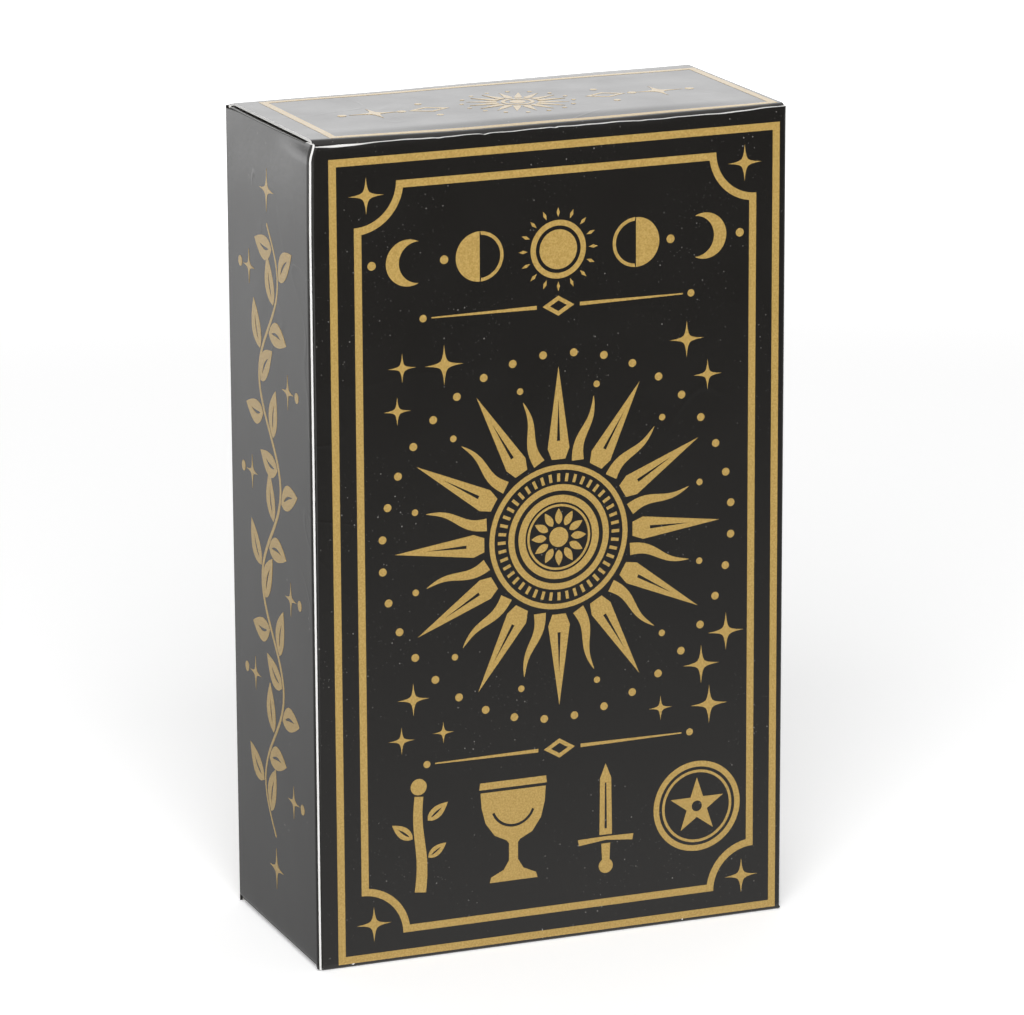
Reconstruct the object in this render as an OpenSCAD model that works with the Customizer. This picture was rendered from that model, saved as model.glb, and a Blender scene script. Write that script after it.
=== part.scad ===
// Boxed tarot deck: 78 cards and a guide booklet in a folded tuck carton.
// Millimetres. Origin at the middle of the carton's base, front face towards -Y, +Z up.

/* [Cards] */
// Width of a card
card_w = 70; // [56:1:90]
// Height of a card
card_h = 120; // [90:1:150]
// Thickness of a card
card_t = 0.36; // [0.25:0.01:0.5]
// Radius of a card's corners
card_r = 3.5; // [1:0.5:8]
// Air between neighbouring cards
card_gap = 0.01; // [0.005:0.005:0.03]

/* [Booklet] */
// How much narrower the booklet is than a card
book_narrow = 4; // [1:0.5:12]
// How much shorter the booklet is than a card
book_short = 6; // [1:0.5:20]
// Number of folded sheets inside the cover
sheet_count = 8; // [4:1:12]
// Thickness of a sheet
sheet_t = 0.12; // [0.08:0.01:0.2]
// Thickness of the cover
cover_t = 0.25; // [0.15:0.01:0.4]
// Air between neighbouring leaves
leaf_gap = 0.01; // [0.005:0.005:0.03]
// Inside radius of the innermost fold
fold_r = 0.06; // [0.04:0.01:0.2]
// Diameter of the staple wire
staple_d = 0.5; // [0.3:0.05:0.7]
// Length of a staple along the spine
staple_w = 11; // [8:0.5:15]
// Distance of a staple's middle from the booklet's nearer end
staple_inset = 28; // [15:1:40]
// Play round the wire in its holes
staple_play = 0.02; // [0.01:0.01:0.1]

/* [Carton] */
// Thickness of the folded board
board_t = 0.5; // [0.35:0.05:0.7]
// Thickness of a glue line
glue_t = 0.04; // [0.02:0.01:0.1]
// Play between a card's edge and the carton on each side
side_play = 1.73; // [1:0.01:4]
// Play between the tuck flap and the first card
front_play = 0.3; // [0.2:0.05:1]
// Gap between the deck and the booklet
book_gap = 0.2; // [0.1:0.05:1]
// Play behind the booklet
back_play = 1.11; // [0.5:0.01:4]
// Play between the deck and the top dust flaps
head_play = 2.81; // [1:0.01:6]
// Gap between the deck and the bottom dust flaps
seat_gap = 0.05; // [0.02:0.01:0.2]
// Width of the glued seam flap
seam_w = 14; // [8:1:20]
// How far the seam flap stops short of the side panel's ends
seam_end = 2; // [1:0.5:10]
// How much the seam flap's ends slope
seam_taper = 4; // [1:0.5:10]

/* [Top closure] */
// Air between the lid and the dust flaps
lid_gap = 0.1; // [0.05:0.05:0.5]
// How far the lid's cut edges stop short of the side faces
lid_side_gap = 0.4; // [0.2:0.1:2]
// Room between the tuck flap and the front panel, for the flap's swing
tuck_clear = 0.8; // [0.8:0.05:2]
// Length of the tuck flap
tuck_h = 12; // [8:0.5:13]
// Play beside the tuck flap on each side
tuck_side_gap = 1; // [0.5:0.1:3]
// Radius of the tuck flaps' free corners
tuck_r = 5.5; // [2:0.5:7]
// How far the front panel's cut edge lies below the lid
front_drop = 1; // [0.6:0.1:3]
// Air at a crease between the folded pieces
crease_gap = 0.05; // [0.02:0.01:0.2]
// Length of a top dust flap from its crease
dust_len = 24; // [14:1:32]
// Distance of a dust flap's rear end from the lid's crease
dust_rear = 0.8; // [0.6:0.1:4]
// Gap between a dust flap and the tuck flap
dust_front = 0.75; // [0.5:0.05:4]
// How much a dust flap narrows at the front, from crease to tip
dust_slope = 5.2; // [4:0.2:8]
// Degrees that a dust flap rises for each degree of the lid, which sets its rear slope
dust_rise = 0.6; // [0.4:0.05:0.7]
// Radius of a dust flap's free corners
dust_r = 3; // [1:0.5:4]

/* [Bottom closure] */
// How far the bottom panel's cut edges stop short of the side faces
base_side_gap = 0.8; // [0.2:0.1:2]
// Length of the bottom tuck flap
base_tuck_h = 12; // [6:0.5:20]
// Length of a bottom dust flap from its crease
base_dust_len = 24; // [14:1:32]
// Gap at both ends of a bottom dust flap
base_dust_gap = 0.6; // [0.3:0.1:3]
// How much a bottom dust flap narrows on each side, from crease to tip
base_dust_slope = 6; // [2:0.5:9]

/* [Hidden] */
$fn = 48;
eps_cut = 1;
// Largest corner radius of a tuck flap, as a share of the flap's height
flap_r_share = 0.48;

// Names of the pieces
MAJORS = [
    "card_00_fool", "card_01_magician", "card_02_high_priestess", "card_03_empress",
    "card_04_emperor", "card_05_hierophant", "card_06_lovers", "card_07_chariot",
    "card_08_strength", "card_09_hermit", "card_10_wheel_of_fortune", "card_11_justice",
    "card_12_hanged_man", "card_13_death", "card_14_temperance", "card_15_devil",
    "card_16_tower", "card_17_star", "card_18_moon", "card_19_sun",
    "card_20_judgement", "card_21_world"
];
SUITS = ["wands", "cups", "swords", "pentacles"];
COURTS = ["page", "knight", "queen", "king"];
function pips_name(suit) = str("card_", suit, "_ace_to_ten");
function court_name(suit, court) = str("card_", suit, "_", court);
CARTON = [
    "front_panel", "back_panel", "left_side_panel", "right_side_panel", "seam_flap",
    "bottom_panel", "bottom_tuck_flap", "bottom_left_dust_flap", "bottom_right_dust_flap",
    "lid_panel", "lid_tuck_flap", "top_left_dust_flap", "top_right_dust_flap"
];
BOOKLET = ["booklet_cover", "booklet_sheets", "booklet_staples"];

// Counts of the pack
pip_count = 10;
suit_count = pip_count + len(COURTS);
card_count = len(MAJORS) + len(SUITS) * suit_count;

// Sizes of the stack and of the booklet
card_pitch = card_t + card_gap;
deck_t = card_count * card_pitch - card_gap;
leaf_pitch = sheet_t + leaf_gap;
cover_r = fold_r + sheet_count * leaf_pitch;
book_half = cover_r + cover_t;
book_w = card_w - book_narrow;
book_h = card_h - book_short;

// Depth of the carton, from the front face to the back face
y_front = 0;
front_in = board_t;
tuck_out = front_in + tuck_clear;
tuck_in = tuck_out + board_t;
deck_front = tuck_in + front_play;
book_front = deck_front + deck_t + book_gap;
base_tuck_in = book_front + 2 * book_half + back_play;
base_tuck_out = base_tuck_in + board_t;
back_in = base_tuck_out + glue_t;
carton_d = back_in + board_t;

// Width of the carton, from the left face to the right face
seam_out = board_t + glue_t;
seam_in = seam_out + board_t;
cards_left = seam_in + side_play;
right_in = cards_left + card_w + side_play;
carton_w = right_in + board_t;
cards_mid = cards_left + card_w / 2;

// Height of the carton, from the base to the lid's outer face
base_dust_z = board_t + glue_t;
side_z = base_dust_z + board_t;
deck_z = side_z + seat_gap;
dust_z = deck_z + card_h + head_play;
lid_z = dust_z + board_t + lid_gap;
carton_h = lid_z + board_t;
side_top = dust_z - crease_gap;
back_top = lid_z - crease_gap;
front_top = carton_h - front_drop;

// Crease axes of the top closure
lid_axis_y = carton_d - board_t / 2;
dust_axis_x = board_t / 2;

board_color = "#1c1b1c";
core_color = "#e9e6df";
card_color = "#f3efe4";
paper_color = "#efe8d6";
wire_color = "#b9bcc0";

// Moves a piece laid out from the carton's front left corner to the carton's own frame
module centred() {
    translate([-carton_w / 2, -carton_d / 2, 0]) children();
}

// A quarter of a round bar along Z: the outside of a fold, on the side given by the two signs
module fold_bar(length, side_x, side_y) {
    intersection() {
        cylinder(r = board_t, h = length);
        translate([min(side_x, 0) * board_t, min(side_y, 0) * board_t, 0])
            cube([board_t, board_t, length]);
    }
}

// The same fold laid along X
module fold_bar_x(length, side_y, side_z) {
    rotate([0, 90, 0]) fold_bar(length, -side_z, side_y);
}

function unit(v) = v / norm(v);

// Corner radius of a flap, kept within the flap's own height
function flap_r(radius, height) = min(radius, flap_r_share * height);

// A flat convex outline with the given radius at each corner
module rounded_outline(points, radii) {
    n = len(points);
    corners = [
        for (i = [0 : n - 1])
        let (
            p = points[i],
            to_last = unit(points[(i + n - 1) % n] - p),
            to_next = unit(points[(i + 1) % n] - p),
            half = acos(to_last * to_next) / 2,
            reach = radii[i] / tan(half)
        )
        [p + reach * to_last, p + reach * to_next, p + radii[i] / sin(half) * unit(to_last + to_next)]
    ];
    polygon([
        for (i = [0 : n - 1])
        each radii[i] > 0 ? [corners[i][0], corners[i][1]] : [points[i]]
    ]);
    for (i = [0 : n - 1])
        if (radii[i] > 0)
            translate(corners[i][2]) circle(r = radii[i]);
}

// Stands a flat outline up in the XZ plane, from y to y + thickness
module upright(y, thickness) {
    translate([0, y + thickness, 0]) rotate([90, 0, 0]) linear_extrude(thickness) children();
}

// Stands a flat outline up in the YZ plane, from x to x + thickness
module upright_side(x, thickness) {
    translate([x, 0, 0]) rotate([90, 0, 90]) linear_extrude(thickness) children();
}

module front_panel() {
    height = front_top - board_t;
    color(board_color) centred() {
        translate([seam_in, 0, board_t]) cube([right_in - seam_in, board_t, height]);
        translate([seam_in, board_t, board_t]) fold_bar(height, -1, -1);
        translate([right_in, board_t, board_t]) fold_bar(height, 1, -1);
    }
}

module back_panel() {
    color(board_color) centred() {
        translate([board_t, back_in, 0]) cube([right_in - board_t, board_t, back_top]);
        translate([board_t, back_in, 0]) fold_bar(back_top, -1, 1);
        translate([right_in, back_in, 0]) fold_bar(back_top, 1, 1);
    }
}

// The left side ends in a cut edge that shows at the front, beside the seam
module left_side_panel() {
    color(board_color) centred()
        translate([0, y_front, side_z]) cube([board_t, back_in - y_front, side_top - side_z]);
}

module right_side_panel() {
    color(board_color) centred()
        translate([right_in, front_in, side_z])
            cube([board_t, back_in - front_in, side_top - side_z]);
}

module seam_flap() {
    low = side_z + seam_end;
    high = side_top - seam_end;
    color(core_color) centred()
        upright_side(seam_out, board_t)
            polygon([
                [front_in, low], [front_in + seam_w, low + seam_taper],
                [front_in + seam_w, high - seam_taper], [front_in, high]
            ]);
}

module bottom_panel() {
    width = carton_w - 2 * base_side_gap;
    color(board_color) centred() translate([base_side_gap, 0, 0]) {
        translate([0, board_t, 0]) cube([width, base_tuck_in - board_t, board_t]);
        translate([0, board_t, board_t]) fold_bar_x(width, -1, -1);
        translate([0, base_tuck_in, board_t]) fold_bar_x(width, 1, -1);
    }
}

module bottom_tuck_flap() {
    left = seam_in + tuck_side_gap;
    right = right_in - tuck_side_gap;
    low = board_t + crease_gap;
    corner_r = flap_r(tuck_r, base_tuck_h - low);
    color(core_color) centred()
        upright(base_tuck_in, board_t)
            rounded_outline(
                [[left, low], [right, low], [right, base_tuck_h], [left, base_tuck_h]],
                [0, 0, corner_r, corner_r]
            );
}

// Laid out for the left side, with its crease along the left face
module bottom_dust_flap() {
    front = front_in + base_dust_gap;
    rear = base_tuck_in - base_dust_gap;
    translate([0, 0, base_dust_z]) linear_extrude(board_t)
        rounded_outline(
            [
                [board_t, front], [base_dust_len, front + base_dust_slope],
                [base_dust_len, rear - base_dust_slope], [board_t, rear]
            ],
            [0, dust_r, dust_r, 0]
        );
    translate([board_t, front, side_z])
        rotate([-90, 0, 0]) fold_bar(rear - front, -1, 1);
}

module bottom_left_dust_flap() {
    color(core_color) centred() bottom_dust_flap();
}

module bottom_right_dust_flap() {
    color(core_color) mirror([1, 0, 0]) centred() bottom_dust_flap();
}

module lid_panel() {
    width = carton_w - 2 * lid_side_gap;
    color(board_color) centred() translate([lid_side_gap, 0, lid_z]) {
        translate([0, tuck_in, 0]) cube([width, lid_axis_y - tuck_in, board_t]);
        translate([0, lid_axis_y, board_t / 2]) rotate([0, 90, 0]) cylinder(d = board_t, h = width);
        translate([0, tuck_in, 0]) fold_bar_x(width, -1, 1);
    }
}

module lid_tuck_flap() {
    left = seam_in + tuck_side_gap;
    right = right_in - tuck_side_gap;
    low = lid_z - tuck_h;
    high = lid_z - crease_gap;
    corner_r = flap_r(tuck_r, high - low);
    color(core_color) centred()
        upright(tuck_out, board_t)
            rounded_outline(
                [[left, low], [right, low], [right, high], [left, high]],
                [corner_r, corner_r, 0, 0]
            );
}

// Laid out for the left side, with a round crease along the left face
module top_dust_flap() {
    front = tuck_in + dust_front;
    rear = lid_axis_y - dust_rear;
    tip = dust_axis_x + dust_len;
    translate([0, 0, dust_z]) linear_extrude(board_t)
        rounded_outline(
            [
                [dust_axis_x, front], [tip, front + dust_slope],
                [tip, rear - dust_rise * dust_len], [dust_axis_x, rear]
            ],
            [0, dust_r, dust_r, 0]
        );
    translate([dust_axis_x, front, dust_z + board_t / 2])
        rotate([-90, 0, 0]) cylinder(d = board_t, h = rear - front);
}

module top_left_dust_flap() {
    color(core_color) centred() top_dust_flap();
}

module top_right_dust_flap() {
    color(core_color) mirror([1, 0, 0]) centred() top_dust_flap();
}

// The card at the given place in the stack, counted from the front
module card(place) {
    left = cards_mid - card_w / 2;
    right = cards_mid + card_w / 2;
    color(card_color) centred()
        upright(deck_front + place * card_pitch, card_t)
            rounded_outline(
                [[left, deck_z], [right, deck_z], [right, deck_z + card_h], [left, deck_z + card_h]],
                [card_r, card_r, card_r, card_r]
            );
}

function first_of_suit(suit) = len(MAJORS) + suit * suit_count;

// Ace to ten of one suit, as separate cards
module pip_cards(suit) {
    for (rank = [0 : pip_count - 1]) card(first_of_suit(suit) + rank);
}

// Plan outline of one folded leaf pair: a solid tongue with a round spine end
module leaf_tongue(radius, length) {
    circle(r = radius);
    translate([0, -radius]) square([length, 2 * radius]);
}

// A sheet folded round the booklet's spine, with the staple holes through its fold
module folded_sheet(inner_r, thickness) {
    length = book_w - book_half;
    difference() {
        linear_extrude(book_h) difference() {
            leaf_tongue(inner_r + thickness, length);
            leaf_tongue(inner_r, length + eps_cut);
        }
        for (z = [staple_inset, book_h - staple_inset]) translate([0, 0, z]) staple_legs(staple_play);
    }
}

// The two legs of a staple, from its crown to just inside the middle fold
module staple_legs(play) {
    leg_r = staple_d / 2 + play;
    for (side = [-1, 1])
        translate([staple_x, 0, side * (staple_w - staple_d) / 2])
            rotate([0, 90, 0]) cylinder(r = leg_r, h = -staple_x + fold_r + staple_d + play);
}

// Crown of a staple: its distance from the spine's axis
staple_x = -(book_half + staple_d / 2 + staple_play);

module in_booklet() {
    centred() translate([cards_mid - book_w / 2 + book_half, book_front + book_half, deck_z]) children();
}

module booklet_cover() {
    color(paper_color) in_booklet() folded_sheet(cover_r, cover_t);
}

module booklet_sheets() {
    color(paper_color) in_booklet()
        for (i = [0 : sheet_count - 1]) folded_sheet(fold_r + i * leaf_pitch, sheet_t);
}

module booklet_staples() {
    color(wire_color) in_booklet()
        for (z = [staple_inset, book_h - staple_inset]) translate([0, 0, z]) {
            staple_legs(0);
            translate([staple_x, 0, -staple_w / 2]) cylinder(d = staple_d, h = staple_w);
        }
}

front_panel();
back_panel();
left_side_panel();
right_side_panel();
seam_flap();
bottom_panel();
bottom_tuck_flap();
bottom_left_dust_flap();
bottom_right_dust_flap();
lid_panel();
lid_tuck_flap();
top_left_dust_flap();
top_right_dust_flap();
booklet_cover();
booklet_sheets();
booklet_staples();
for (i = [0 : len(MAJORS) - 1])
    card(i);
for (s = [0 : len(SUITS) - 1])
    pip_cards(s);
for (s = [0 : len(SUITS) - 1])
    for (c = [0 : len(COURTS) - 1])
        card(first_of_suit(s) + pip_count + c);
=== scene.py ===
# Looks of a boxed tarot deck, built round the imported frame. Front towards -Y, +Z up.
# Shapes are laid out in millimetres and become metres when a mesh is made.
import math

import bmesh
import bpy
import numpy as np
from mathutils import Matrix, Vector
from mathutils.geometry import tessellate_polygon


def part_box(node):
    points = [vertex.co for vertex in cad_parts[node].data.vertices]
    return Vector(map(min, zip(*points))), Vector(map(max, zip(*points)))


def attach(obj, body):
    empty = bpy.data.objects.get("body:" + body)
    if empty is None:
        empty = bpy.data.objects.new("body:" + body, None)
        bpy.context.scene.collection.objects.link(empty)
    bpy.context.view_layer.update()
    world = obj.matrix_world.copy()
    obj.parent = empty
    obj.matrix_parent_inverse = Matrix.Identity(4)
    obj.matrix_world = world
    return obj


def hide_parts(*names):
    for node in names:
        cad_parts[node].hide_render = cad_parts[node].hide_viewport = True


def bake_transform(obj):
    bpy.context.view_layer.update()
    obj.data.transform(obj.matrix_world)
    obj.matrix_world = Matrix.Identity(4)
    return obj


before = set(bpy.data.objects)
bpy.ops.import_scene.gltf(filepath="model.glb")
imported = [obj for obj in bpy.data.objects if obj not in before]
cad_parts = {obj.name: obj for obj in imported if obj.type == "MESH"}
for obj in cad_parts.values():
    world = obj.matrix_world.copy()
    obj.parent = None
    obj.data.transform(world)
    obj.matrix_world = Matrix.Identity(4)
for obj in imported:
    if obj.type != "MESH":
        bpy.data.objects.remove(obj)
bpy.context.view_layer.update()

MM = 0.001
TINY = 1e-9
SCENE = bpy.context.scene


# Measures of the frame

def box_mm(node_name):
    """Lowest and highest corner of a CAD node, in millimetres"""
    return tuple(np.array(corner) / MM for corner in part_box(node_name))


FRONT_LOW, FRONT_HIGH = box_mm("front_panel")
BACK_LOW, BACK_HIGH = box_mm("back_panel")
LEFT_LOW, LEFT_HIGH = box_mm("left_side_panel")
RIGHT_LOW, RIGHT_HIGH = box_mm("right_side_panel")
BASE_LOW, BASE_HIGH = box_mm("bottom_panel")
LID_LOW, LID_HIGH = box_mm("lid_panel")
TUCK_LOW, TUCK_HIGH = box_mm("lid_tuck_flap")
DUST_LOW, DUST_HIGH = box_mm("top_left_dust_flap")
CARD_LOW, CARD_HIGH = box_mm("card_00_fool")
BOOK_LOW, BOOK_HIGH = box_mm("booklet_cover")
BOARD = LEFT_HIGH[0] - LEFT_LOW[0]
CREASE_CRUSH = 0.06
CARTON_MID_Z = (BASE_LOW[2] + LID_HIGH[2]) / 2


# Node helpers

class Wire:
    """A node's output that can be reckoned with: each step adds a Math node to its tree"""

    def __init__(self, socket):
        self.socket = socket
        self.tree = socket.id_data

    def math(self, operation, *others, clamp=False):
        return reckoned(self.tree, operation, self, *others, clamp=clamp)

    def __add__(self, other):
        return self.math("ADD", other)

    def __sub__(self, other):
        return self.math("SUBTRACT", other)

    def __rsub__(self, other):
        return reckoned(self.tree, "SUBTRACT", other, self)

    def __mul__(self, other):
        return self.math("MULTIPLY", other)

    def __truediv__(self, other):
        return self.math("DIVIDE", other)

    def __rtruediv__(self, other):
        return reckoned(self.tree, "DIVIDE", other, self)

    def __mod__(self, other):
        return self.math("MODULO", other)

    def __abs__(self):
        return self.math("ABSOLUTE")


def feed(made, inputs):
    """Links or sets inputs of a node"""
    for key, value in dict(inputs).items():
        if isinstance(value, Wire):
            value.tree.links.new(value.socket, made.inputs[key])
        else:
            made.inputs[key].default_value = value


def node(tree, kind, inputs=(), **settings):
    """A new node with its settings and inputs"""
    made = tree.nodes.new(kind)
    for key, value in settings.items():
        setattr(made, key, value)
    feed(made, inputs)
    return made


def out(made, key=0):
    """One output of a node"""
    return Wire(made.outputs[key])


def reckoned(tree, operation, *values, clamp=False):
    """The output of one Math node"""
    return out(node(tree, "ShaderNodeMath", enumerate(values), operation=operation, use_clamp=clamp))


def either(first, second):
    """The larger of two values"""
    return first.math("MAXIMUM", second)


def between(low, high, value):
    """A smooth step from 0 at low to 1 at high"""
    ends = {"Value": value, "From Min": low, "From Max": high}
    return out(node(value.tree, "ShaderNodeMapRange", ends, interpolation_type="SMOOTHSTEP"))


def tint(share, first, second):
    """A colour mixed from two, which may be colours or wires"""
    made = node(share.tree, "ShaderNodeMix", {"Factor": share}, data_type="RGBA")
    for key, value in ((6, first), (7, second)):
        feed(made, {key: value if isinstance(value, Wire) else (*value, 1)})
    return out(made, 2)


def noise(place, scale, detail=2.0, roughness=0.5, distortion=0.0):
    """The value of a noise texture, from 0 to 1"""
    return out(node(place.tree, "ShaderNodeTexNoise", {
        "Vector": place, "Scale": scale, "Detail": detail, "Roughness": roughness, "Distortion": distortion,
    }))


def cells(place, scale):
    """The distance from the nearest of many strewn points"""
    return out(node(place.tree, "ShaderNodeTexVoronoi", {"Vector": place, "Scale": scale}), "Distance")


def split(place):
    """The three parts of coordinates"""
    made = node(place.tree, "ShaderNodeSeparateXYZ", {0: place})
    return [out(made, k) for k in range(3)]


def stretched(place, *factors):
    """Coordinates stretched by a factor along each axis"""
    return out(node(place.tree, "ShaderNodeVectorMath", {0: place, 1: factors}, operation="MULTIPLY"))


def new_material(name):
    """An empty node material with its shader and its object coordinates"""
    made = bpy.data.materials.new(name)
    made.use_nodes = True
    shader = made.node_tree.nodes["Principled BSDF"]
    return made, shader, out(node(made.node_tree, "ShaderNodeTexCoord"), "Object")


def bumped(shader, height, distance):
    """Raises a surface by a height map, over a distance in metres"""
    bump = node(height.tree, "ShaderNodeBump", {"Height": height, "Distance": distance, "Strength": 1.0})
    feed(shader, {"Normal": out(bump)})


# Materials of the carton: colours are linear, in pairs where a pattern runs between them

BLACK_INK = ((0.0072, 0.0063, 0.0052), (0.0112, 0.0100, 0.0085))
PALE_SPECK = (0.30, 0.29, 0.27)
GOLD_GRAIN = ((0.37, 0.232, 0.056), (0.54, 0.365, 0.112))
GOLD_CLOUD = (0.41, 0.272, 0.076)
CORE_FIBRE = ((0.76, 0.75, 0.73), (0.88, 0.875, 0.86))
BARE_BOARD = ((0.74, 0.72, 0.68), (0.82, 0.805, 0.77))
BOARD_FLECK = (0.60, 0.57, 0.52)
FILM_IOR = 1.5
FILM_ROUGHNESS = 0.14
FILM_RELIEF = 0.00012
# Heights as shares of the film's relief
PEEL_HEIGHT = 0.05
WRINKLE_HEIGHT = 0.12


def laminate(shader, place):
    """The gloss film on the print: slow waves of the board, fine peel and thin wrinkles, unevenly polished"""
    path = abs(noise(place, 26, detail=1, distortion=1.2) - 0.5)
    some = between(0.5, 0.62, noise(place, 38, detail=1))
    wrinkle = between(0.008, 0.0, path) * (some * WRINKLE_HEIGHT)
    peel = noise(place, 900, detail=1) * PEEL_HEIGHT
    bumped(shader, noise(place, 45) + peel + wrinkle, FILM_RELIEF)
    polish = noise(place, 120, detail=3) * FILM_ROUGHNESS + FILM_ROUGHNESS
    feed(shader, {"Roughness": polish, "IOR": FILM_IOR})


def black_ink(place):
    """The black of the print, with slow cloudy patches"""
    return tint(noise(place, 30, detail=3), *BLACK_INK)


def black_print():
    """Black print under gloss film, with fine pale specks strewn in patches"""
    made, shader, place = new_material("black_gloss_print")
    speck = between(0.1, 0.05, cells(place, 680))
    fine = between(0.12, 0.06, cells(place, 1500)) * 0.45
    speck_patches = between(0.42, 0.66, noise(place, 55)) * 0.6
    feed(shader, {"Base Color": tint(either(speck, fine) * speck_patches, black_ink(place), PALE_SPECK)})
    laminate(shader, place)
    return made


def gold_print():
    """Gold ink with a fine grain, under the same gloss film"""
    made, shader, place = new_material("gold_print")
    speckle = tint(between(0.3, 0.7, noise(place, 3600, roughness=0.7)), *GOLD_GRAIN)
    feed(shader, {"Base Color": tint(noise(place, 40) * 0.35, speckle, GOLD_CLOUD)})
    laminate(shader, place)
    return made


def board_core():
    """The white cut edge of the board, with its fibres"""
    made, shader, place = new_material("cut_board_edge")
    fibre = noise(stretched(place, 1, 1, 0.25), 2600, detail=3, roughness=0.7)
    feed(shader, {"Base Color": tint(fibre, *CORE_FIBRE), "Roughness": 0.85})
    bumped(shader, fibre, 0.00001)
    return made


def board_inside():
    """The uncoated inner side of the board: off-white, mottled, faintly fibrous"""
    made, shader, place = new_material("bare_board")
    mottle = tint(noise(place, 90, detail=4, roughness=0.6), *BARE_BOARD)
    fleck = between(0.66, 0.78, noise(place, 800)) * 0.3
    feed(shader, {"Base Color": tint(fleck, mottle, BOARD_FLECK), "Roughness": 0.75})
    fibre = noise(stretched(place, 1, 1, 0.12), 1500, detail=3, roughness=0.6)
    bumped(shader, fibre, 0.00005)
    return made


BLACK = black_print()
GOLD = gold_print()
CORE = board_core()
INSIDE = board_inside()
BOARD_FINISHES = (BLACK, INSIDE, CORE)


# Mesh helpers

def placed(name, data):
    """A new object in the scene"""
    made = bpy.data.objects.new(name, data)
    SCENE.collection.objects.link(made)
    return made


def mesh_object(name, points, faces, materials, face_materials=None, sharp_deg=40):
    """A mesh piece from points in millimetres, smooth but for its sharp edges"""
    mesh = bpy.data.meshes.new(name)
    mesh.from_pydata((np.asarray(points, float) * MM).tolist(), [], [list(map(int, f)) for f in faces])
    for material in materials:
        mesh.materials.append(material)
    if face_materials is not None:
        mesh.polygons.foreach_set("material_index", np.asarray(face_materials, np.int32))
    mesh.shade_smooth()
    mesh.set_sharp_from_angle(angle=math.radians(sharp_deg))
    mesh.update()
    return placed(name, mesh)


def finished(piece, body, slot, *nodes):
    """Puts a piece on its body, with the nodes that it stands for, which it hides; slot is not used"""
    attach(piece, body)
    if nodes:
        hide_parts(*nodes)
    return piece


def straight(start, end, normal, steps):
    """A straight stretch of a folded sheet's section: points, outward normals and thickness"""
    share = np.linspace(0, 1, steps + 1)[:, None]
    points = np.array(start) * (1 - share) + np.array(end) * share
    return np.hstack([points, np.tile(normal, (steps + 1, 1)), np.full((steps + 1, 1), BOARD)])


def bend(centre, radius, start_deg, end_deg, steps=6):
    """A round fold of a folded sheet's section, with the board crushed a little"""
    angles = np.radians(np.linspace(start_deg, end_deg, steps + 1))
    normals = np.stack([np.cos(angles), np.sin(angles)], 1)
    crushed = np.full((steps + 1, 1), BOARD - CREASE_CRUSH)
    return np.hstack([np.array(centre) + radius * normals, normals, crushed])


def section(*stretches):
    """One section from its stretches, without the doubled points where they meet"""
    rows = [stretches[0]]
    for stretch in stretches[1:]:
        rows.append(stretch[1:])
    return np.vstack(rows)


# The section's two directions and then the one that it is carried along, as places in x, y, z
ALONG_Z = (0, 1, 2)
ALONG_X = (1, 2, 0)
ALONG_Y = (0, 2, 1)


def swept(profile, axes, across):
    """Grids of outer and inner points: a section carried across the sheet, with places for each row"""
    rows, cols = len(profile), across.shape[1]
    outer = np.zeros((rows, cols, 3))
    inner = np.zeros((rows, cols, 3))
    for k in range(2):
        outer[:, :, axes[k]] = profile[:, k, None]
        inner[:, :, axes[k]] = (profile[:, k] - profile[:, k + 2] * profile[:, 4])[:, None]
    outer[:, :, axes[2]] = across
    inner[:, :, axes[2]] = across
    return outer, inner


def board_sheet(name, outer, inner, finishes=BOARD_FINISHES):
    """A sheet of board from matching grids of points on its printed and its inner side"""
    rows, cols = outer.shape[:2]
    count = rows * cols
    points = np.concatenate([outer.reshape(-1, 3), inner.reshape(-1, 3)])
    index = np.arange(count).reshape(rows, cols)
    gloss = np.stack([index[:-1, :-1], index[1:, :-1], index[1:, 1:], index[:-1, 1:]], -1).reshape(-1, 4)
    bare = gloss[:, ::-1] + count
    rim = np.concatenate([index[0, :], index[1:, -1], index[-1, -2::-1], index[-2:0:-1, 0]])
    after = np.roll(rim, -1)
    cut = np.stack([rim, after, after + count, rim + count], -1)
    faces = np.concatenate([gloss, bare, cut])
    corners = points[gloss]
    normals = np.cross(corners[:, 1] - corners[:, 0], corners[:, 2] - corners[:, 0])
    if np.sum(normals * (corners[:, 0] - points[gloss[:, 0] + count])) < 0:
        faces = faces[:, ::-1]
    kinds = np.repeat([0, 1, 2], [len(gloss), len(bare), len(cut)])
    return mesh_object(name, points, faces, finishes, kinds)


def eased(value):
    """A smooth step from 0 to 1"""
    value = np.clip(value, 0, 1)
    return value * value * (3 - 2 * value)


def ripple(place, waves):
    """A sum of waves: each has its length, height and phase"""
    return sum(height * np.sin(2 * np.pi * place / length + phase) for length, height, phase in waves)


def rounded(corners, radii, steps=8):
    """A convex outline with the given radius at each corner, as points"""
    loop = []
    count = len(corners)
    corners = [np.array(c, float) for c in corners]
    for i, corner in enumerate(corners):
        if radii[i] == 0:
            loop.append(corner)
            continue
        back = corners[i - 1] - corner
        ahead = corners[(i + 1) % count] - corner
        back /= np.linalg.norm(back)
        ahead /= np.linalg.norm(ahead)
        half = math.acos(float(np.clip(back @ ahead, -1, 1))) / 2
        middle = (back + ahead) / np.linalg.norm(back + ahead)
        centre = corner + middle * radii[i] / math.sin(half)
        first = corner + back * radii[i] / math.tan(half) - centre
        last = corner + ahead * radii[i] / math.tan(half) - centre
        start = math.atan2(first[1], first[0])
        turn = (math.atan2(last[1], last[0]) - start + math.pi) % (2 * math.pi) - math.pi
        for k in range(steps + 1):
            angle = start + turn * k / steps
            loop.append(centre + radii[i] * np.array([math.cos(angle), math.sin(angle)]))
    return np.array(loop)


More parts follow.
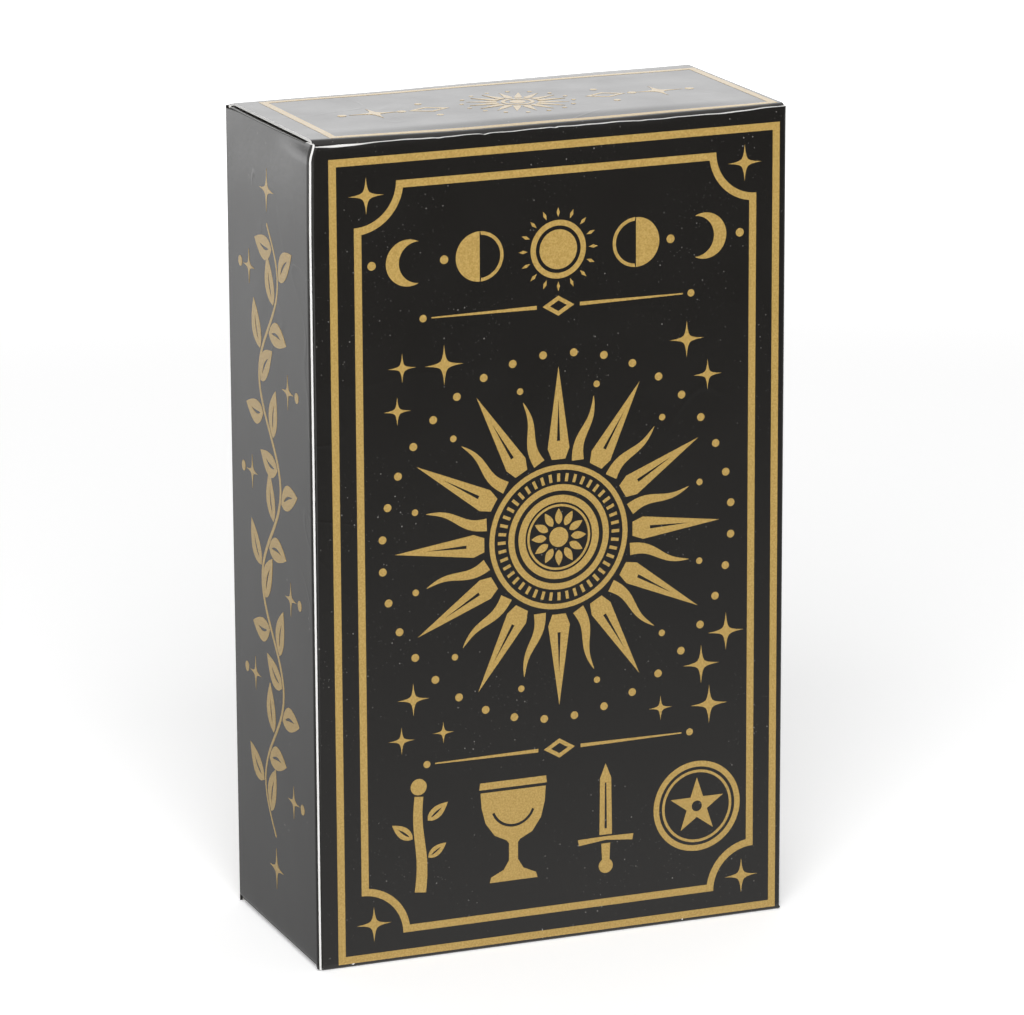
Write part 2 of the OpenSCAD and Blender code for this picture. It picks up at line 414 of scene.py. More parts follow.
def span(outline, place):
    """Lowest and highest second coordinate of a convex outline at one place along its first"""
    found = []
    for p, q in zip(outline, np.roll(outline, -1, 0)):
        if min(p[0], q[0]) - TINY <= place <= max(p[0], q[0]) + TINY:
            share = 0 if abs(q[0] - p[0]) < TINY else (place - p[0]) / (q[0] - p[0])
            found.append(p[1] + (q[1] - p[1]) * np.clip(share, 0, 1))
    return min(found), max(found)


def rows_across(limits, cols):
    """Evenly spaced places between the two limits of each row"""
    share = np.linspace(0, 1, cols)
    return np.array([low + (high - low) * share for low, high in limits])


# Board of the sleeve

# Rows of a panel, as distances below its top edge, and columns of the left side behind its cut front edge
FRONT_ROWS = (6, 4.5, 3, 2, 1.4, 1, 0.7, 0.45, 0.25, 0.1)
SIDE_ROWS = (6, 4.5, 3.4, 2.8, 2.2, 1.6, 1, 0.5, 0.2)
SEAM_COLUMNS = (0, 0.08, 0.18, 0.35, 0.7, 1.2, 1.8, 2.3, 2.5, 2.65, 2.8, 3.1, 4.5)
SEAM_END = 6
# Counts of plain rows and columns
PANEL_ROWS = 40
LEFT_COLUMNS = 22
RIGHT_COLUMNS = 24
BASE_COLUMNS = 40
FRONT_BOW = 0.22
FOOT_GAP = 0.05
# The flare of the front panel's cut edge: how far, how deep it reaches and how it varies along the edge
LIP_FLARE = 0.14
LIP_REACH = 0.8
LIP_EVEN = 0.6
LIP_WAVE = 6.1
CORNER_WIDTH = 5
CORNER_LEAN = 0.55
CORNER_LEAN_FROM = FRONT_HIGH[2] - 2.6
CORNER_LEAN_SLOW = 0.15
CORNER_CURL = 1.5
CORNER_REACH = 0.26
# How much higher the left side reaches than its nominal height, at its front and at its rear
SIDE_RISE = (0.42, 0.1)
SIDE_RISE_FROM = 11.0
SIDE_LEAN = 0.4
SIDE_LEAN_NEAR = 15.0
SIDE_LEAN_REACH = 14.0
# The toe of the seam's cut edge: how far it reaches down, its width and the height that it starts from
CORNER_DROP = 0.75
TOE_WIDTH = 0.9
TOE_REACH = 3
COLUMN_EASE = 0.3
# How far the closed top has settled on each side, at the front and at the rear
SETTLE_LEFT = (0.20, 0.42)
SETTLE_RIGHT = (0.14, 0.04)
CORNER_TOP = LEFT_HIGH[2] + SIDE_RISE[0] + CORNER_REACH - SETTLE_LEFT[0]
FLAP_SETTLE_MOST = 0.35
FLAP_CLEARANCE = 0.08
REAR_DROOP = 0.46
REAR_DROOP_FROM = 15.6
FRONT_SAG = 0.38
FRONT_SAG_FROM = -12.0
FRONT_RISE_LEFT = 0.12
FRONT_RISE_RIGHT = 0.5
SETTLE_REACH = 8.0
EDGE_ROLL = 0.19
ROLL_REACH = 0.35
EDGE_SET = 0.2
EDGE_REACH = 1.4
EDGE_WAVES = ((31.0, 0.05, 0.6), (11.3, 0.035, 1.9), (4.7, 0.02, 0.2))
# Nicks along the front panel's cut edge: place, half width and depth
EDGE_NICKS = (
    (-17.4, 0.5, 0.10), (-10.3, 0.45, 0.16), (0.6, 0.4, 0.13), (14.0, 0.8, 0.06),
    (38.0, 5.5, -0.24),  # a rise at the right end
)
# Worn stretches where the white core shows on the cut edge: place, half width and height
EDGE_WEAR = ((-32.6, 3.4, 0.26), (-20.0, 4.0, 0.05), (8.0, 9.0, 0.03), (29.0, 5.0, 0.05))
LEAST_WEAR = 0.004
# How much of the wear draws down each of the last rows
WORN_ROWS = {-1: 1, -2: 1, -3: 0.7}


def front_bow(x, z):
    """How far the front panel stands out, towards its free top edge"""
    across = 1 - (2 * x / (FRONT_HIGH[0] - FRONT_LOW[0])) ** 2
    return FRONT_BOW * np.clip(across, 0, 1) * eased((z - CARTON_MID_Z) / (FRONT_HIGH[2] - CARTON_MID_Z))


def lip_flare(x, z):
    """How far the front panel's cut edge flares out, unevenly along its length"""
    uneven = LIP_EVEN + (1 - LIP_EVEN) * np.sin(x / LIP_WAVE)
    return LIP_FLARE * np.exp(-(FRONT_HIGH[2] - z) / LIP_REACH) * uneven


def near_top(z, reach):
    """A smooth step from 0 at a distance below the side panels' top edge to 1 at the edge"""
    return eased((z - LEFT_HIGH[2] + reach) / reach)


def corner_lean(z):
    """How far the front left corner leans in at its top"""
    slow = CORNER_LEAN_SLOW * near_top(z, SIDE_LEAN_REACH)
    return slow + CORNER_LEAN * eased((z - CORNER_LEAN_FROM) / (CORNER_TOP - CORNER_LEAN_FROM)) ** CORNER_CURL


def side_lean(y, z):
    """How far the left side leans in: sharply at its front corner, gently along its top edge"""
    near = eased((LEFT_LOW[1] + SIDE_LEAN_NEAR - y) / SIDE_LEAN_NEAR)
    gentle = SIDE_LEAN * (1 - depth_share(y)) * near_top(z, SIDE_LEAN_REACH)
    return near * corner_lean(z) + (1 - near) * gentle


def side_top(y):
    """How far the top edge of the left side lies above its nominal height"""
    share = eased((y - SIDE_RISE_FROM) / (LEFT_HIGH[1] - SIDE_RISE_FROM))
    return SIDE_RISE[0] + (SIDE_RISE[1] - SIDE_RISE[0]) * share - settle(LEFT_LOW[0], y)


def bumps(place, list_of_bumps):
    """A sum of soft bumps: each has its place, half width and height"""
    return sum(h * np.exp(-(((place - c) / w) ** 2)) for c, w, h in list_of_bumps)


def leaning(x, left, right):
    """A value that changes evenly from the left side of the carton to the right"""
    return left + (right - left) * (x - LEFT_LOW[0]) / (RIGHT_HIGH[0] - LEFT_LOW[0])


def depth_share(y):
    """0 at the carton's front and 1 at its rear"""
    return (y - FRONT_LOW[1]) / (BACK_HIGH[1] - FRONT_LOW[1])


def settle(x, y):
    """How far the closed top has settled, at a place in plan"""
    ends = [leaning(x, SETTLE_LEFT[k], SETTLE_RIGHT[k]) for k in (0, 1)]
    return ends[0] + (ends[1] - ends[0]) * depth_share(y)


def lid_drop(x, y):
    """How far the lid lies below its nominal height: settled, round at its rear left, sagging in front"""
    droop = leaning(x, REAR_DROOP, 0) * eased((y - REAR_DROOP_FROM) / (LID_HIGH[1] - REAR_DROOP_FROM))
    across = np.clip(1 - (x / LID_HIGH[0]) ** 2, 0, 1)
    sag = FRONT_SAG * across * eased((FRONT_SAG_FROM - y) / (FRONT_SAG_FROM - LID_LOW[1]))
    return settle(x, y) + droop + sag


def settled(drop, z):
    """Heights near the top of a side or back panel, which the closed top has pressed down by a drop"""
    return z - drop * near_top(z, SETTLE_REACH)


def front_rise(x, z):
    """How much taller the front panel is than its nominal height, in step with the leaning top"""
    return leaning(x, FRONT_RISE_LEFT, FRONT_RISE_RIGHT) * z / FRONT_HIGH[2]


def levels(low, high, fine_steps, coarse):
    """Row heights: coarse steps, then ever finer ones to the top"""
    top = high - np.array(fine_steps)
    body = np.linspace(low, top[0], int((top[0] - low) / coarse) + 2)
    return np.concatenate([body, top[1:], [high]])


def front_panel():
    """The front panel: round upright folds, a faint bow and a worn cut edge at its top"""
    low_x, high_x = FRONT_LOW[0], FRONT_HIGH[0]
    face, inside = FRONT_LOW[1], FRONT_HIGH[1]
    profile = section(
        bend((low_x + BOARD, inside), BOARD, 180, 270),
        straight((low_x + BOARD, face), (high_x - BOARD, face), (0, -1), steps=180),
        bend((high_x - BOARD, inside), BOARD, 270, 360),
    )
    heights = levels(FRONT_LOW[2], FRONT_HIGH[2], FRONT_ROWS, coarse=4)
    outer, inner = swept(profile, ALONG_Z, np.tile(heights, (len(profile), 1)))
    x, z = profile[:, :1], heights[None, :]
    near_left = eased((low_x + CORNER_WIDTH - x) / CORNER_WIDTH)
    stand = (front_bow(x, z) + lip_flare(x, z)) * np.abs(profile[:, 3:4])
    edge = ripple(x, EDGE_WAVES) - bumps(x, EDGE_NICKS)
    rise = (edge - EDGE_SET) * eased((z - FRONT_HIGH[2] + EDGE_REACH) / EDGE_REACH)
    for grid in (outer, inner):
        grid[:, :, 1] -= stand
        grid[:, :, 2] += rise + front_rise(grid[:, :, 0], grid[:, :, 2])
        grid[:, :, 0] += near_left * corner_lean(grid[:, :, 2])
    worn = LEAST_WEAR + bumps(profile[:, 0], EDGE_WEAR) * np.abs(profile[:, 3])
    for row, share in WORN_ROWS.items():
        outer[:, row, 2] -= share * worn
    piece = board_sheet("front_panel_board", outer, inner)
    return finished(piece, "sleeve", "printed_board", "front_panel")


def back_panel():
    """The back panel, between its two round upright folds"""
    low_x, high_x = BACK_LOW[0], BACK_HIGH[0]
    face, inside = BACK_HIGH[1], BACK_LOW[1]
    profile = section(
        bend((high_x - BOARD, inside), BOARD, 0, 90),
        straight((high_x - BOARD, face), (low_x + BOARD, face), (0, 1), steps=40),
        bend((low_x + BOARD, inside), BOARD, 90, 180),
    )
    heights = np.linspace(BACK_LOW[2], BACK_HIGH[2], PANEL_ROWS)
    drop = settle(profile[:, :1], BACK_HIGH[1])
    outer, inner = swept(profile, ALONG_Z, settled(drop, heights[None, :]))
    piece = board_sheet("back_panel_board", outer, inner, (BLACK, INSIDE, BLACK))
    return finished(piece, "sleeve", "printed_board", "back_panel")


def side_section(face, depth, outward):
    """The straight section of a side panel, at places along its depth"""
    return np.array([(face, y, outward, 0, BOARD) for y in depth])


def left_side_panel():
    """The left side, with the white cut edge of the glued seam down its front corner"""
    edge, behind = LEFT_LOW[1] + np.array(SEAM_COLUMNS), LEFT_LOW[1] + SEAM_END
    depth = np.concatenate([edge, np.linspace(behind, LEFT_HIGH[1], LEFT_COLUMNS)])
    heights = levels(LEFT_LOW[2], LEFT_HIGH[2], SIDE_ROWS, coarse=3)
    y, z = depth[:, None], heights[None, :]
    outer, inner = swept(side_section(LEFT_LOW[0], depth, -1), ALONG_Z, settled(-side_top(y), z))
    beside_flap = eased((DUST_LOW[1] - y) / COLUMN_EASE)
    reach_up = CORNER_REACH * eased((z - CORNER_LEAN_FROM) / (LEFT_HIGH[2] - CORNER_LEAN_FROM))
    at_edge = eased((LEFT_LOW[1] + TOE_WIDTH - y) / COLUMN_EASE)
    reach_down = CORNER_DROP * eased((LEFT_LOW[2] + TOE_REACH - z) / TOE_REACH)
    for grid in (outer, inner):
        grid[:, :, 2] += beside_flap * reach_up - at_edge * reach_down
        grid[:, :, 0] += side_lean(y, grid[:, :, 2])
    outer[:, :, 0] += EDGE_ROLL * eased((LEFT_LOW[1] + ROLL_REACH - y) / ROLL_REACH)
    piece = board_sheet("left_side_board", outer, inner)
    return finished(piece, "sleeve", "printed_board", "left_side_panel")


def right_side_panel():
    """The right side, pressed down a little by the settled top"""
    depth = np.linspace(RIGHT_LOW[1], RIGHT_HIGH[1], RIGHT_COLUMNS)
    heights = np.linspace(RIGHT_LOW[2], RIGHT_HIGH[2], PANEL_ROWS)
    height = settled(settle(RIGHT_HIGH[0], depth[:, None]), heights[None, :])
    outer, inner = swept(side_section(RIGHT_HIGH[0], depth, 1), ALONG_Z, height)
    piece = board_sheet("right_side_board", outer, inner)
    return finished(piece, "sleeve", "printed_board", "right_side_panel")


def bottom_panel():
    """The base, with its folds at the front and at the rear"""
    front, rear = BASE_LOW[1], BASE_HIGH[1]
    profile = section(
        bend((front + BOARD, BASE_HIGH[2]), BOARD, 180, 270),
        straight((front + BOARD, BASE_LOW[2]), (rear - BOARD, BASE_LOW[2]), (0, -1), steps=24),
        bend((rear - BOARD, BASE_HIGH[2]), BOARD, 270, 360),
    )
    at_front = eased((front + 2 * BOARD - profile[:, 0]) / BOARD)
    right = BASE_HIGH[0] + (FRONT_HIGH[0] - FOOT_GAP - BASE_HIGH[0]) * at_front
    across = rows_across([(BASE_LOW[0], high) for high in right], BASE_COLUMNS)
    outer, inner = swept(profile, ALONG_X, across)
    # The cut edges take the black print, a painted shade for their place under the carton
    piece = board_sheet("bottom_panel_board", outer, inner, (BLACK, INSIDE, BLACK))
    return finished(piece, "sleeve", "printed_board", "bottom_panel")


front_panel()
back_panel()
left_side_panel()
right_side_panel()
bottom_panel()


# Board of the top closure

LID_FOLD = 1.05
LID_SPRING = 0.72
LID_SPRING_REACH = 7.0
# The lid's left and right edges, at its front and at its crease
LID_LEFT = (-36.45, -36.75)
LID_RIGHT = (37.46, 37.2)
LID_EDGE_BEVEL = 0.05
LID_EDGE_CRUSH = 0.12
LID_CREASE_REACH = 1.5
LID_COLUMNS = 76
DUST_COLUMNS = 24
TUCK_CORNER = 5.5
TUCK_SHOULDER = 0.7
# Strips with closer rows, beside the lid's seam and at the ends of the tuck flap and the dust flaps
SEAM_STRIP = 2
TUCK_STRIP = 0.5
DUST_STRIP = 0.4
LID_WAVES = ((52.0, 0.035, 0.4), (23.0, 0.02, 2.0))
DUST_FRONT_SLOPE = 5.2
DUST_REAR_SLOPE = 14.4
DUST_CORNER = 3.0
LID_SEAM_Y = LID_HIGH[1] - LID_CREASE_REACH


def lid_wave(x):
    """Faint waves of the lid along its length"""
    return ripple(x, LID_WAVES)


def lid_limits(y):
    """The lid's left and right edge at one depth"""
    share = np.clip((y - LID_LOW[1]) / (LID_HIGH[1] - LID_LOW[1]), 0, 1)
    return [edge[0] + (edge[1] - edge[0]) * share for edge in (LID_LEFT, LID_RIGHT)]


def pressed_edges(outer, inner, upward):
    """Draws the printed side of the lid in a little at its cut edges, and thins them from below"""
    outer[:, 0, 0] += LID_EDGE_BEVEL
    outer[:, -1, 0] -= LID_EDGE_BEVEL
    for column in (0, -1):
        inner[:, column, 2] += LID_EDGE_CRUSH * np.clip(upward, 0, 1)


def lid_and_tuck_flap():
    """The lid and its tuck flap in one folded sheet, which bends at the fold between them"""
    top, front, foot = LID_HIGH[2], LID_LOW[1] - LID_SPRING, TUCK_LOW[2]
    profile = section(
        straight((LID_SEAM_Y, top), (LID_SEAM_Y - SEAM_STRIP, top), (0, 1), steps=6),
        straight((LID_SEAM_Y - SEAM_STRIP, top), (front + LID_FOLD, top), (0, 1), steps=34),
        bend((front + LID_FOLD, top - LID_FOLD), LID_FOLD, 90, 180, steps=8),
        straight((front, top - LID_FOLD), (front, foot + TUCK_CORNER), (-1, 0), steps=10),
        straight((front, foot + TUCK_CORNER), (front, foot + TUCK_STRIP), (-1, 0), steps=10),
        straight((front, foot + TUCK_STRIP), (front, foot), (-1, 0), steps=6),
    )
    flap = rounded(
        [(foot, TUCK_LOW[0]), (foot, TUCK_HIGH[0]), (top, TUCK_HIGH[0]), (top, TUCK_LOW[0])],
        [TUCK_CORNER, TUCK_CORNER, 0, 0], steps=16,
    )
    limits = []
    for y, z in profile[:, :2]:
        left, right = lid_limits(y)
        low, high = span(flap, z)
        narrow = eased((top - TUCK_SHOULDER * LID_FOLD - z) / LID_FOLD)
        limits.append((left + (low - left) * narrow, right + (high - right) * narrow))
    across = rows_across(limits, LID_COLUMNS)
    outer, inner = swept(profile, ALONG_X, across)
    for grid in (outer, inner):
        grid[:, :, 2] += lid_wave(across) * np.abs(profile[:, 3:4]) - lid_drop(across, profile[:, :1])
        grid[:, :, 1] += LID_SPRING * eased((top - LID_FOLD - profile[:, 1:2]) / LID_SPRING_REACH)
    pressed_edges(outer, inner, profile[:, 3])
    piece = board_sheet("lid_board", outer, inner)
    (front + LID_FOLD) * MM
    top * MM
    front * MM
    (top - LID_FOLD) * MM
    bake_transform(piece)
    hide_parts("lid_panel", "lid_tuck_flap")
    return piece


def lid_crease():
    """The strip of board that bends between the back panel and the lid"""
    top, back = LID_HIGH[2], LID_HIGH[1]
    profile = section(
        straight((back, BACK_HIGH[2]), (back, top - BOARD), (1, 0), steps=1),
        bend((back - BOARD, top - BOARD), BOARD, 0, 90, steps=8),
        straight((back - BOARD, top), (LID_SEAM_Y, top), (0, 1), steps=5),
    )
    across = rows_across([lid_limits(y) for y in profile[:, 0]], LID_COLUMNS)
    outer, inner = swept(profile, ALONG_X, across)
    foot = BACK_HIGH[2] - settle(across, back)
    share = (profile[:, 1:2] - BACK_HIGH[2]) / (top - BACK_HIGH[2])
    height = foot + share * (top - lid_drop(across, profile[:, :1]) - foot)
    change = height + lid_wave(across) * np.abs(profile[:, 3:4]) - profile[:, 1:2]
    for grid in (outer, inner):
        grid[:, :, 2] += change
    pressed_edges(outer, inner, profile[:, 3])
    piece = board_sheet("lid_crease", outer, inner)
    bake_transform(piece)
    return piece


def dust_flap(side):
    """A dust flap with its crease: side is -1 on the left and 1 on the right"""
    face = LEFT_LOW[0]
    top = DUST_HIGH[2]
    crease = LEFT_HIGH[2]
    tip, root = DUST_HIGH[0], face + BOARD / 2
    front, rear = DUST_LOW[1], DUST_HIGH[1]
    outline = rounded(
        [(root, front), (tip, front + DUST_FRONT_SLOPE), (tip, rear - DUST_REAR_SLOPE), (root, rear)],
        [0, DUST_CORNER, DUST_CORNER, 0], steps=16,
    )
    profile = section(
        straight((face, crease), (face, top - BOARD), (-1, 0), steps=1),
        bend((face + BOARD, top - BOARD), BOARD, 180, 90, steps=8),
        straight((face + BOARD, top), (tip - DUST_CORNER, top), (0, 1), steps=16),
        straight((tip - DUST_CORNER, top), (tip - DUST_STRIP, top), (0, 1), steps=10),
        straight((tip - DUST_STRIP, top), (tip, top), (0, 1), steps=5),
    )
    across = rows_across([span(outline, max(x, root)) for x in profile[:, 0]], DUST_COLUMNS)
    outer, inner = swept(profile, ALONG_Y, across)
    drop = np.minimum(settle(-side * face, across), FLAP_SETTLE_MOST)
    drop = np.maximum(drop, lid_drop(-side * face, across) - FLAP_CLEARANCE)
    foot = crease + (side_top(across) if side < 0 else -settle(-face, across))
    height = foot + (profile[:, 1:2] - crease) / (top - crease) * (top - drop - foot)
    lean = side_lean(across, foot) if side < 0 else 0
    for grid in (outer, inner):
        grid[:, :, 0] = (grid[:, :, 0] + lean) * -side
        grid[:, :, 2] += height - profile[:, 1:2]
    name = "left" if side < 0 else "right"
    piece = board_sheet(f"top_{name}_dust_board", outer, inner)
    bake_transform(piece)
    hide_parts(f"top_{name}_dust_flap")
    return piece


lid_and_tuck_flap()
lid_crease()
dust_flap(-1)
dust_flap(1)


# Flat shapes of the print: points and faces in millimetres

STEP_DEG = 6


def wound(points, faces):
    """A flat shape with all its faces turned the same way"""
    points = np.asarray(points, float)
    kept = []
    for face in faces:
        x, y = points[list(face)].T
        area = np.sum(x * np.roll(y, -1) - y * np.roll(x, -1))
        if abs(area) > TINY:
            kept.append(tuple(face) if area > 0 else tuple(reversed(face)))
    return points, kept


def filled(outline, *holes):
    """A flat shape from an outline and the holes in it"""
    loops = [[Vector((x, y, 0)) for x, y in loop] for loop in (outline, *holes)]
    return wound(np.vstack([outline, *holes]), tessellate_polygon(loops))


def joined(*shapes):
    """Several flat shapes in one"""
    points, faces, count = [], [], 0
    for shape_points, shape_faces in shapes:
        points.append(shape_points)
        faces += [tuple(i + count for i in face) for face in shape_faces]
        count += len(shape_points)
    return np.vstack(points), faces


def moved(shape, across=0.0, up=0.0, turn_deg=0.0, size=1.0):
    """A flat shape turned, sized and moved"""
    angle = math.radians(turn_deg)
    turn = np.array([[math.cos(angle), math.sin(angle)], [-math.sin(angle), math.cos(angle)]])
    return shape[0] * size @ turn + (across, up), shape[1]


def mirrored(shape):
    """A flat shape and its mirror image across the upright axis"""
    return joined(shape, wound(shape[0] * (-1, 1), shape[1]))


def arc(radius, start_deg=0.0, end_deg=360.0, centre=(0.0, 0.0)):
    """Points on an arc, without its last point where it is a full circle"""
    sweep = end_deg - start_deg
    count = max(3, round(abs(sweep) / STEP_DEG))
    angles = np.radians(np.linspace(start_deg, end_deg, count + 1))
    if abs(sweep) >= 360:
        angles = angles[:-1]
    return np.stack([np.cos(angles), np.sin(angles)], 1) * radius + centre


def disc(radius, *holes):
    """A round disc, with holes in it"""
    return filled(arc(radius), *holes)


def ring(radius, width):
    """A round line, outside by its radius"""
    return filled(arc(radius), arc(radius - width))


def box(half_wide, half_high):
    """The outline of a rectangle about its middle"""
    return np.array([
        (-half_wide, -half_high), (half_wide, -half_high), (half_wide, half_high), (-half_wide, half_high),
    ], float)


def diamond(half_wide, half_high):
    """The outline of a diamond about its middle"""
    return np.array([(half_wide, 0), (0, half_high), (-half_wide, 0), (0, -half_high)], float)


def frame_line(half_wide, half_high, width):
    """A plain rectangular line, outside by its half sizes"""
    return filled(box(half_wide, half_high), box(half_wide - width, half_high - width))


def scooped(half_wide, half_high, scoop, inset):
    """A rectangle with a round scoop at each corner, moved inwards by an inset"""
    reach = scoop + inset
    off = math.degrees(math.asin(inset / reach))
    points = []
    for i, (sx, sy) in enumerate(((1, 1), (-1, 1), (-1, -1), (1, -1))):
        start = 270 + 90 * i - off
        points.append(arc(reach, start, start - 90 + 2 * off, (sx * half_wide, sy * half_high)))
    return np.vstack(points)


def scooped_line(half_wide, half_high, scoop, width):
    """A line along a rectangle with scooped corners"""
    return filled(scooped(half_wide, half_high, scoop, 0), scooped(half_wide, half_high, scoop, width))


def sparkle(reach, waist, points=4, sag=0.55):
    """A star with hollow sides: the sides bend in towards its middle"""
    loop = []
    for i in range(points):
        tip = math.radians(90 + 360 * i / points)
        notch = tip + math.pi / points
        next_tip = tip + 2 * math.pi / points
        for start, end, far in ((tip, notch, (reach, waist)), (notch, next_tip, (waist, reach))):
            a = far[0] * np.array([math.cos(start), math.sin(start)])
            b = far[1] * np.array([math.cos(end), math.sin(end)])
            pull = (a + b) / 2 * sag
            for t in (0, 1 / 3, 2 / 3):
                loop.append((1 - t) ** 2 * a + 2 * t * (1 - t) * pull + t ** 2 * b)
    return filled(np.array(loop))


def band(path, widths):
    """A line of changing width along a path"""
    path = np.asarray(path, float)
    ahead = np.gradient(path, axis=0)
    ahead /= np.linalg.norm(ahead, axis=1)[:, None]
    side = np.stack([-ahead[:, 1], ahead[:, 0]], 1) * np.broadcast_to(widths, len(path))[:, None] / 2
    return filled(np.vstack([path - side, (path + side)[::-1]]))


def leaf_loop(length, width, sway=0.0, steps=10):
    """The outline of a pointed leaf along its first axis, from 0 to its length"""
    share = np.linspace(0, 1, steps + 1)
    half = width / 2 * np.sin(np.pi * share ** 0.8) ** 0.9
    bow = sway * np.sin(np.pi * share)
    low = np.stack([share * length, bow - half], 1)
    high = np.stack([share * length, bow + half], 1)[::-1]
    return np.vstack([low, high[1:-1]])


def leaf(length, width, vein=0.0, sway=0.0):
    """A pointed leaf, with a slit for its middle vein"""
    if not vein:
        return filled(leaf_loop(length, width, sway))
    slit = leaf_loop(length * 0.55, vein, sway * 0.55, 6) + (length * 0.16, sway * 0.42)
    return filled(leaf_loop(length, width, sway), slit)


def ray(start, end, half_width, slit=0.0):
    """A straight pointed ray along the first axis, with an engraved slit"""
    shoulder = start + (end - start) * 0.12
    loop = np.array([
        (start, -half_width * 0.62), (shoulder, -half_width), (end, 0),
        (shoulder, half_width), (start, half_width * 0.62),
    ])
    if not slit:
        return filled(loop)
    mid = start + (end - start) * 0.2
    cut = np.array([(mid, -slit / 2), (start + (end - start) * 0.66, 0), (mid, slit / 2)])
    return filled(loop, cut)


def flame(start, end, half_width, sway):
    """A wavy pointed ray along the first axis"""
    share = np.linspace(0, 1, 15)
    path = np.stack([start + (end - start) * share, sway * np.sin(2 * np.pi * share) * (1 - 0.35 * share)], 1)
    return band(path, 2 * half_width * (1 - share) ** 0.75 + 0.05)


def crescent(radius, bite, shift):
    """A crescent open to the right: a disc less a smaller one moved to the right"""
    reach = (radius ** 2 - bite ** 2 + shift ** 2) / (2 * shift)
    out_deg = math.degrees(math.acos(reach / radius))
    in_deg = math.degrees(math.acos((reach - shift) / bite))
    outer = arc(radius, out_deg, 360 - out_deg)
    inner = arc(bite, 360 - in_deg, in_deg, (shift, 0))
    return filled(np.vstack([outer, inner[1:-1]]))


def divider(half_wide):
    """A slim rule that swells to a diamond in its middle, with a dot at each end"""
    rule = filled(np.array([(3.4, 0.28), (3.4, -0.28), (half_wide - 2.2, -0.1), (half_wide - 2.2, 0.1)]))
    dot = moved(disc(0.55), half_wide - 0.9, 0)
    middle = filled(diamond(2.5, 1.5), diamond(1.35, 0.8))
    return joined(mirrored(joined(rule, dot)), middle)


# Emblems of the four suits, in their common plain forms

def wand_emblem():
    """A knobbed staff with three leaves"""
    share = np.linspace(0, 1, 13)
    stem = band(np.stack([0.25 * np.sin(6 * share), -6.6 + 12.4 * share], 1), 1.5 - 0.35 * share)
    knob = moved(disc(1.05), -0.1, 7.05)
    twig = leaf(3.4, 1.5, 0.28)
    twigs = [
        moved(twig, 1.05, 2.6, 38), moved(twig, -0.95, 0.4, 142), moved(twig, 1.1, -2.2, 35, 0.85),
    ]
    return joined(stem, knob, *twigs)


def cup_emblem():
    """A footed cup with a rim and an engraved line"""
    foot = [(3.2, -6.6), (3.0, -5.9), (1.3, -5.1), (0.6, -3.9), (0.6, -1.7)]
    bowl = [(0.9, -1.3), (2.5, -0.5), (3.7, 1.2), (4.2, 3.2), (4.35, 5.2)]
    right = np.array(foot + bowl)
    outline = np.vstack([right, (right * (-1, 1))[::-1]])
    slit = np.vstack([arc(3.0, 200, 340, (0, 3.4)), arc(2.65, 340, 200, (0, 3.4))])
    body = filled(outline, slit)
    rim = filled(np.array([(-4.5, 5.6), (4.5, 5.6), (4.4, 6.5), (-4.4, 6.5)]))
    return joined(body, rim)


def sword_emblem():
    """An upright sword with a grooved blade"""
    blade = np.array([(-0.85, -2.2), (0.85, -2.2), (0.75, 5.2), (0, 7.1), (-0.75, 5.2)])
    groove = np.array([(-0.16, -1.4), (0.16, -1.4), (0.1, 4.6), (-0.1, 4.6)])
    guard = np.array([(-3.6, -3.3), (0, -2.9), (3.6, -3.3), (3.75, -2.5), (0, -2.43), (-3.75, -2.5)])
    grip = np.array([(-0.5, -5.5), (0.5, -5.5), (0.6, -3.35), (-0.6, -3.35)])
    pommel = moved(disc(0.95), 0, -6.3)
    return joined(filled(blade, groove), filled(guard), filled(grip), pommel)


def coin_emblem():
    """A round coin with a five-pointed star"""
    star = []
    for i in range(10):
        angle = math.radians(90 + 36 * i)
        reach = 3.75 if i % 2 == 0 else 1.45
        star.append((reach * math.cos(angle), reach * math.sin(angle)))
    return joined(ring(5.9, 0.75), ring(4.75, 0.35), filled(np.array(star), arc(0.7)))


SUIT_EMBLEMS = (wand_emblem, cup_emblem, sword_emblem, coin_emblem)


# Geometry node trees for what repeats in the print

def sheet_mesh(name, shape):
    """A flat shape as a mesh, one unit to a millimetre"""
    mesh = bpy.data.meshes.new(name)
    flat = np.hstack([shape[0], np.zeros((len(shape[0]), 1))])
    mesh.from_pydata(flat.tolist(), [], [list(face) for face in shape[1]])
    mesh.update()
    return mesh


def motif(name, shape):
    """A flat shape as an object that a tree can repeat"""
    return placed(name, sheet_mesh(name, shape))


def growing_tree(name, *inputs):
    """An empty geometry tree with named inputs: the tree and its inputs as wires"""
    tree = bpy.data.node_groups.new(name, "GeometryNodeTree")
    tree.is_modifier = True
    for label, kind in (("Geometry", "Geometry"), *inputs, ("Ink", "Material")):
        tree.interface.new_socket(label, in_out="INPUT", socket_type="NodeSocket" + kind)
    tree.interface.new_socket("Geometry", in_out="OUTPUT", socket_type="NodeSocketGeometry")
    return tree, {socket.name: Wire(socket) for socket in tree.nodes.new("NodeGroupInput").outputs}


def close_tree(tree, given, points, label, **turned):
    """Ends a tree: the named object on each point, made real, with the ink"""
    shape = node(tree, "GeometryNodeObjectInfo", {"Object": given[label]})
    made = node(tree, "GeometryNodeInstanceOnPoints", {
        "Points": points, "Instance": out(shape, "Geometry"), **turned,
    })
    real = node(tree, "GeometryNodeRealizeInstances", {0: out(made)})
    inked = node(tree, "GeometryNodeSetMaterial", {"Geometry": out(real), "Material": given["Ink"]})
    feed(tree.nodes.new("NodeGroupOutput"), {0: out(inked)})
    return tree


def numbers(tree):
    """The number of each point"""
    return out(node(tree, "GeometryNodeInputIndex"))


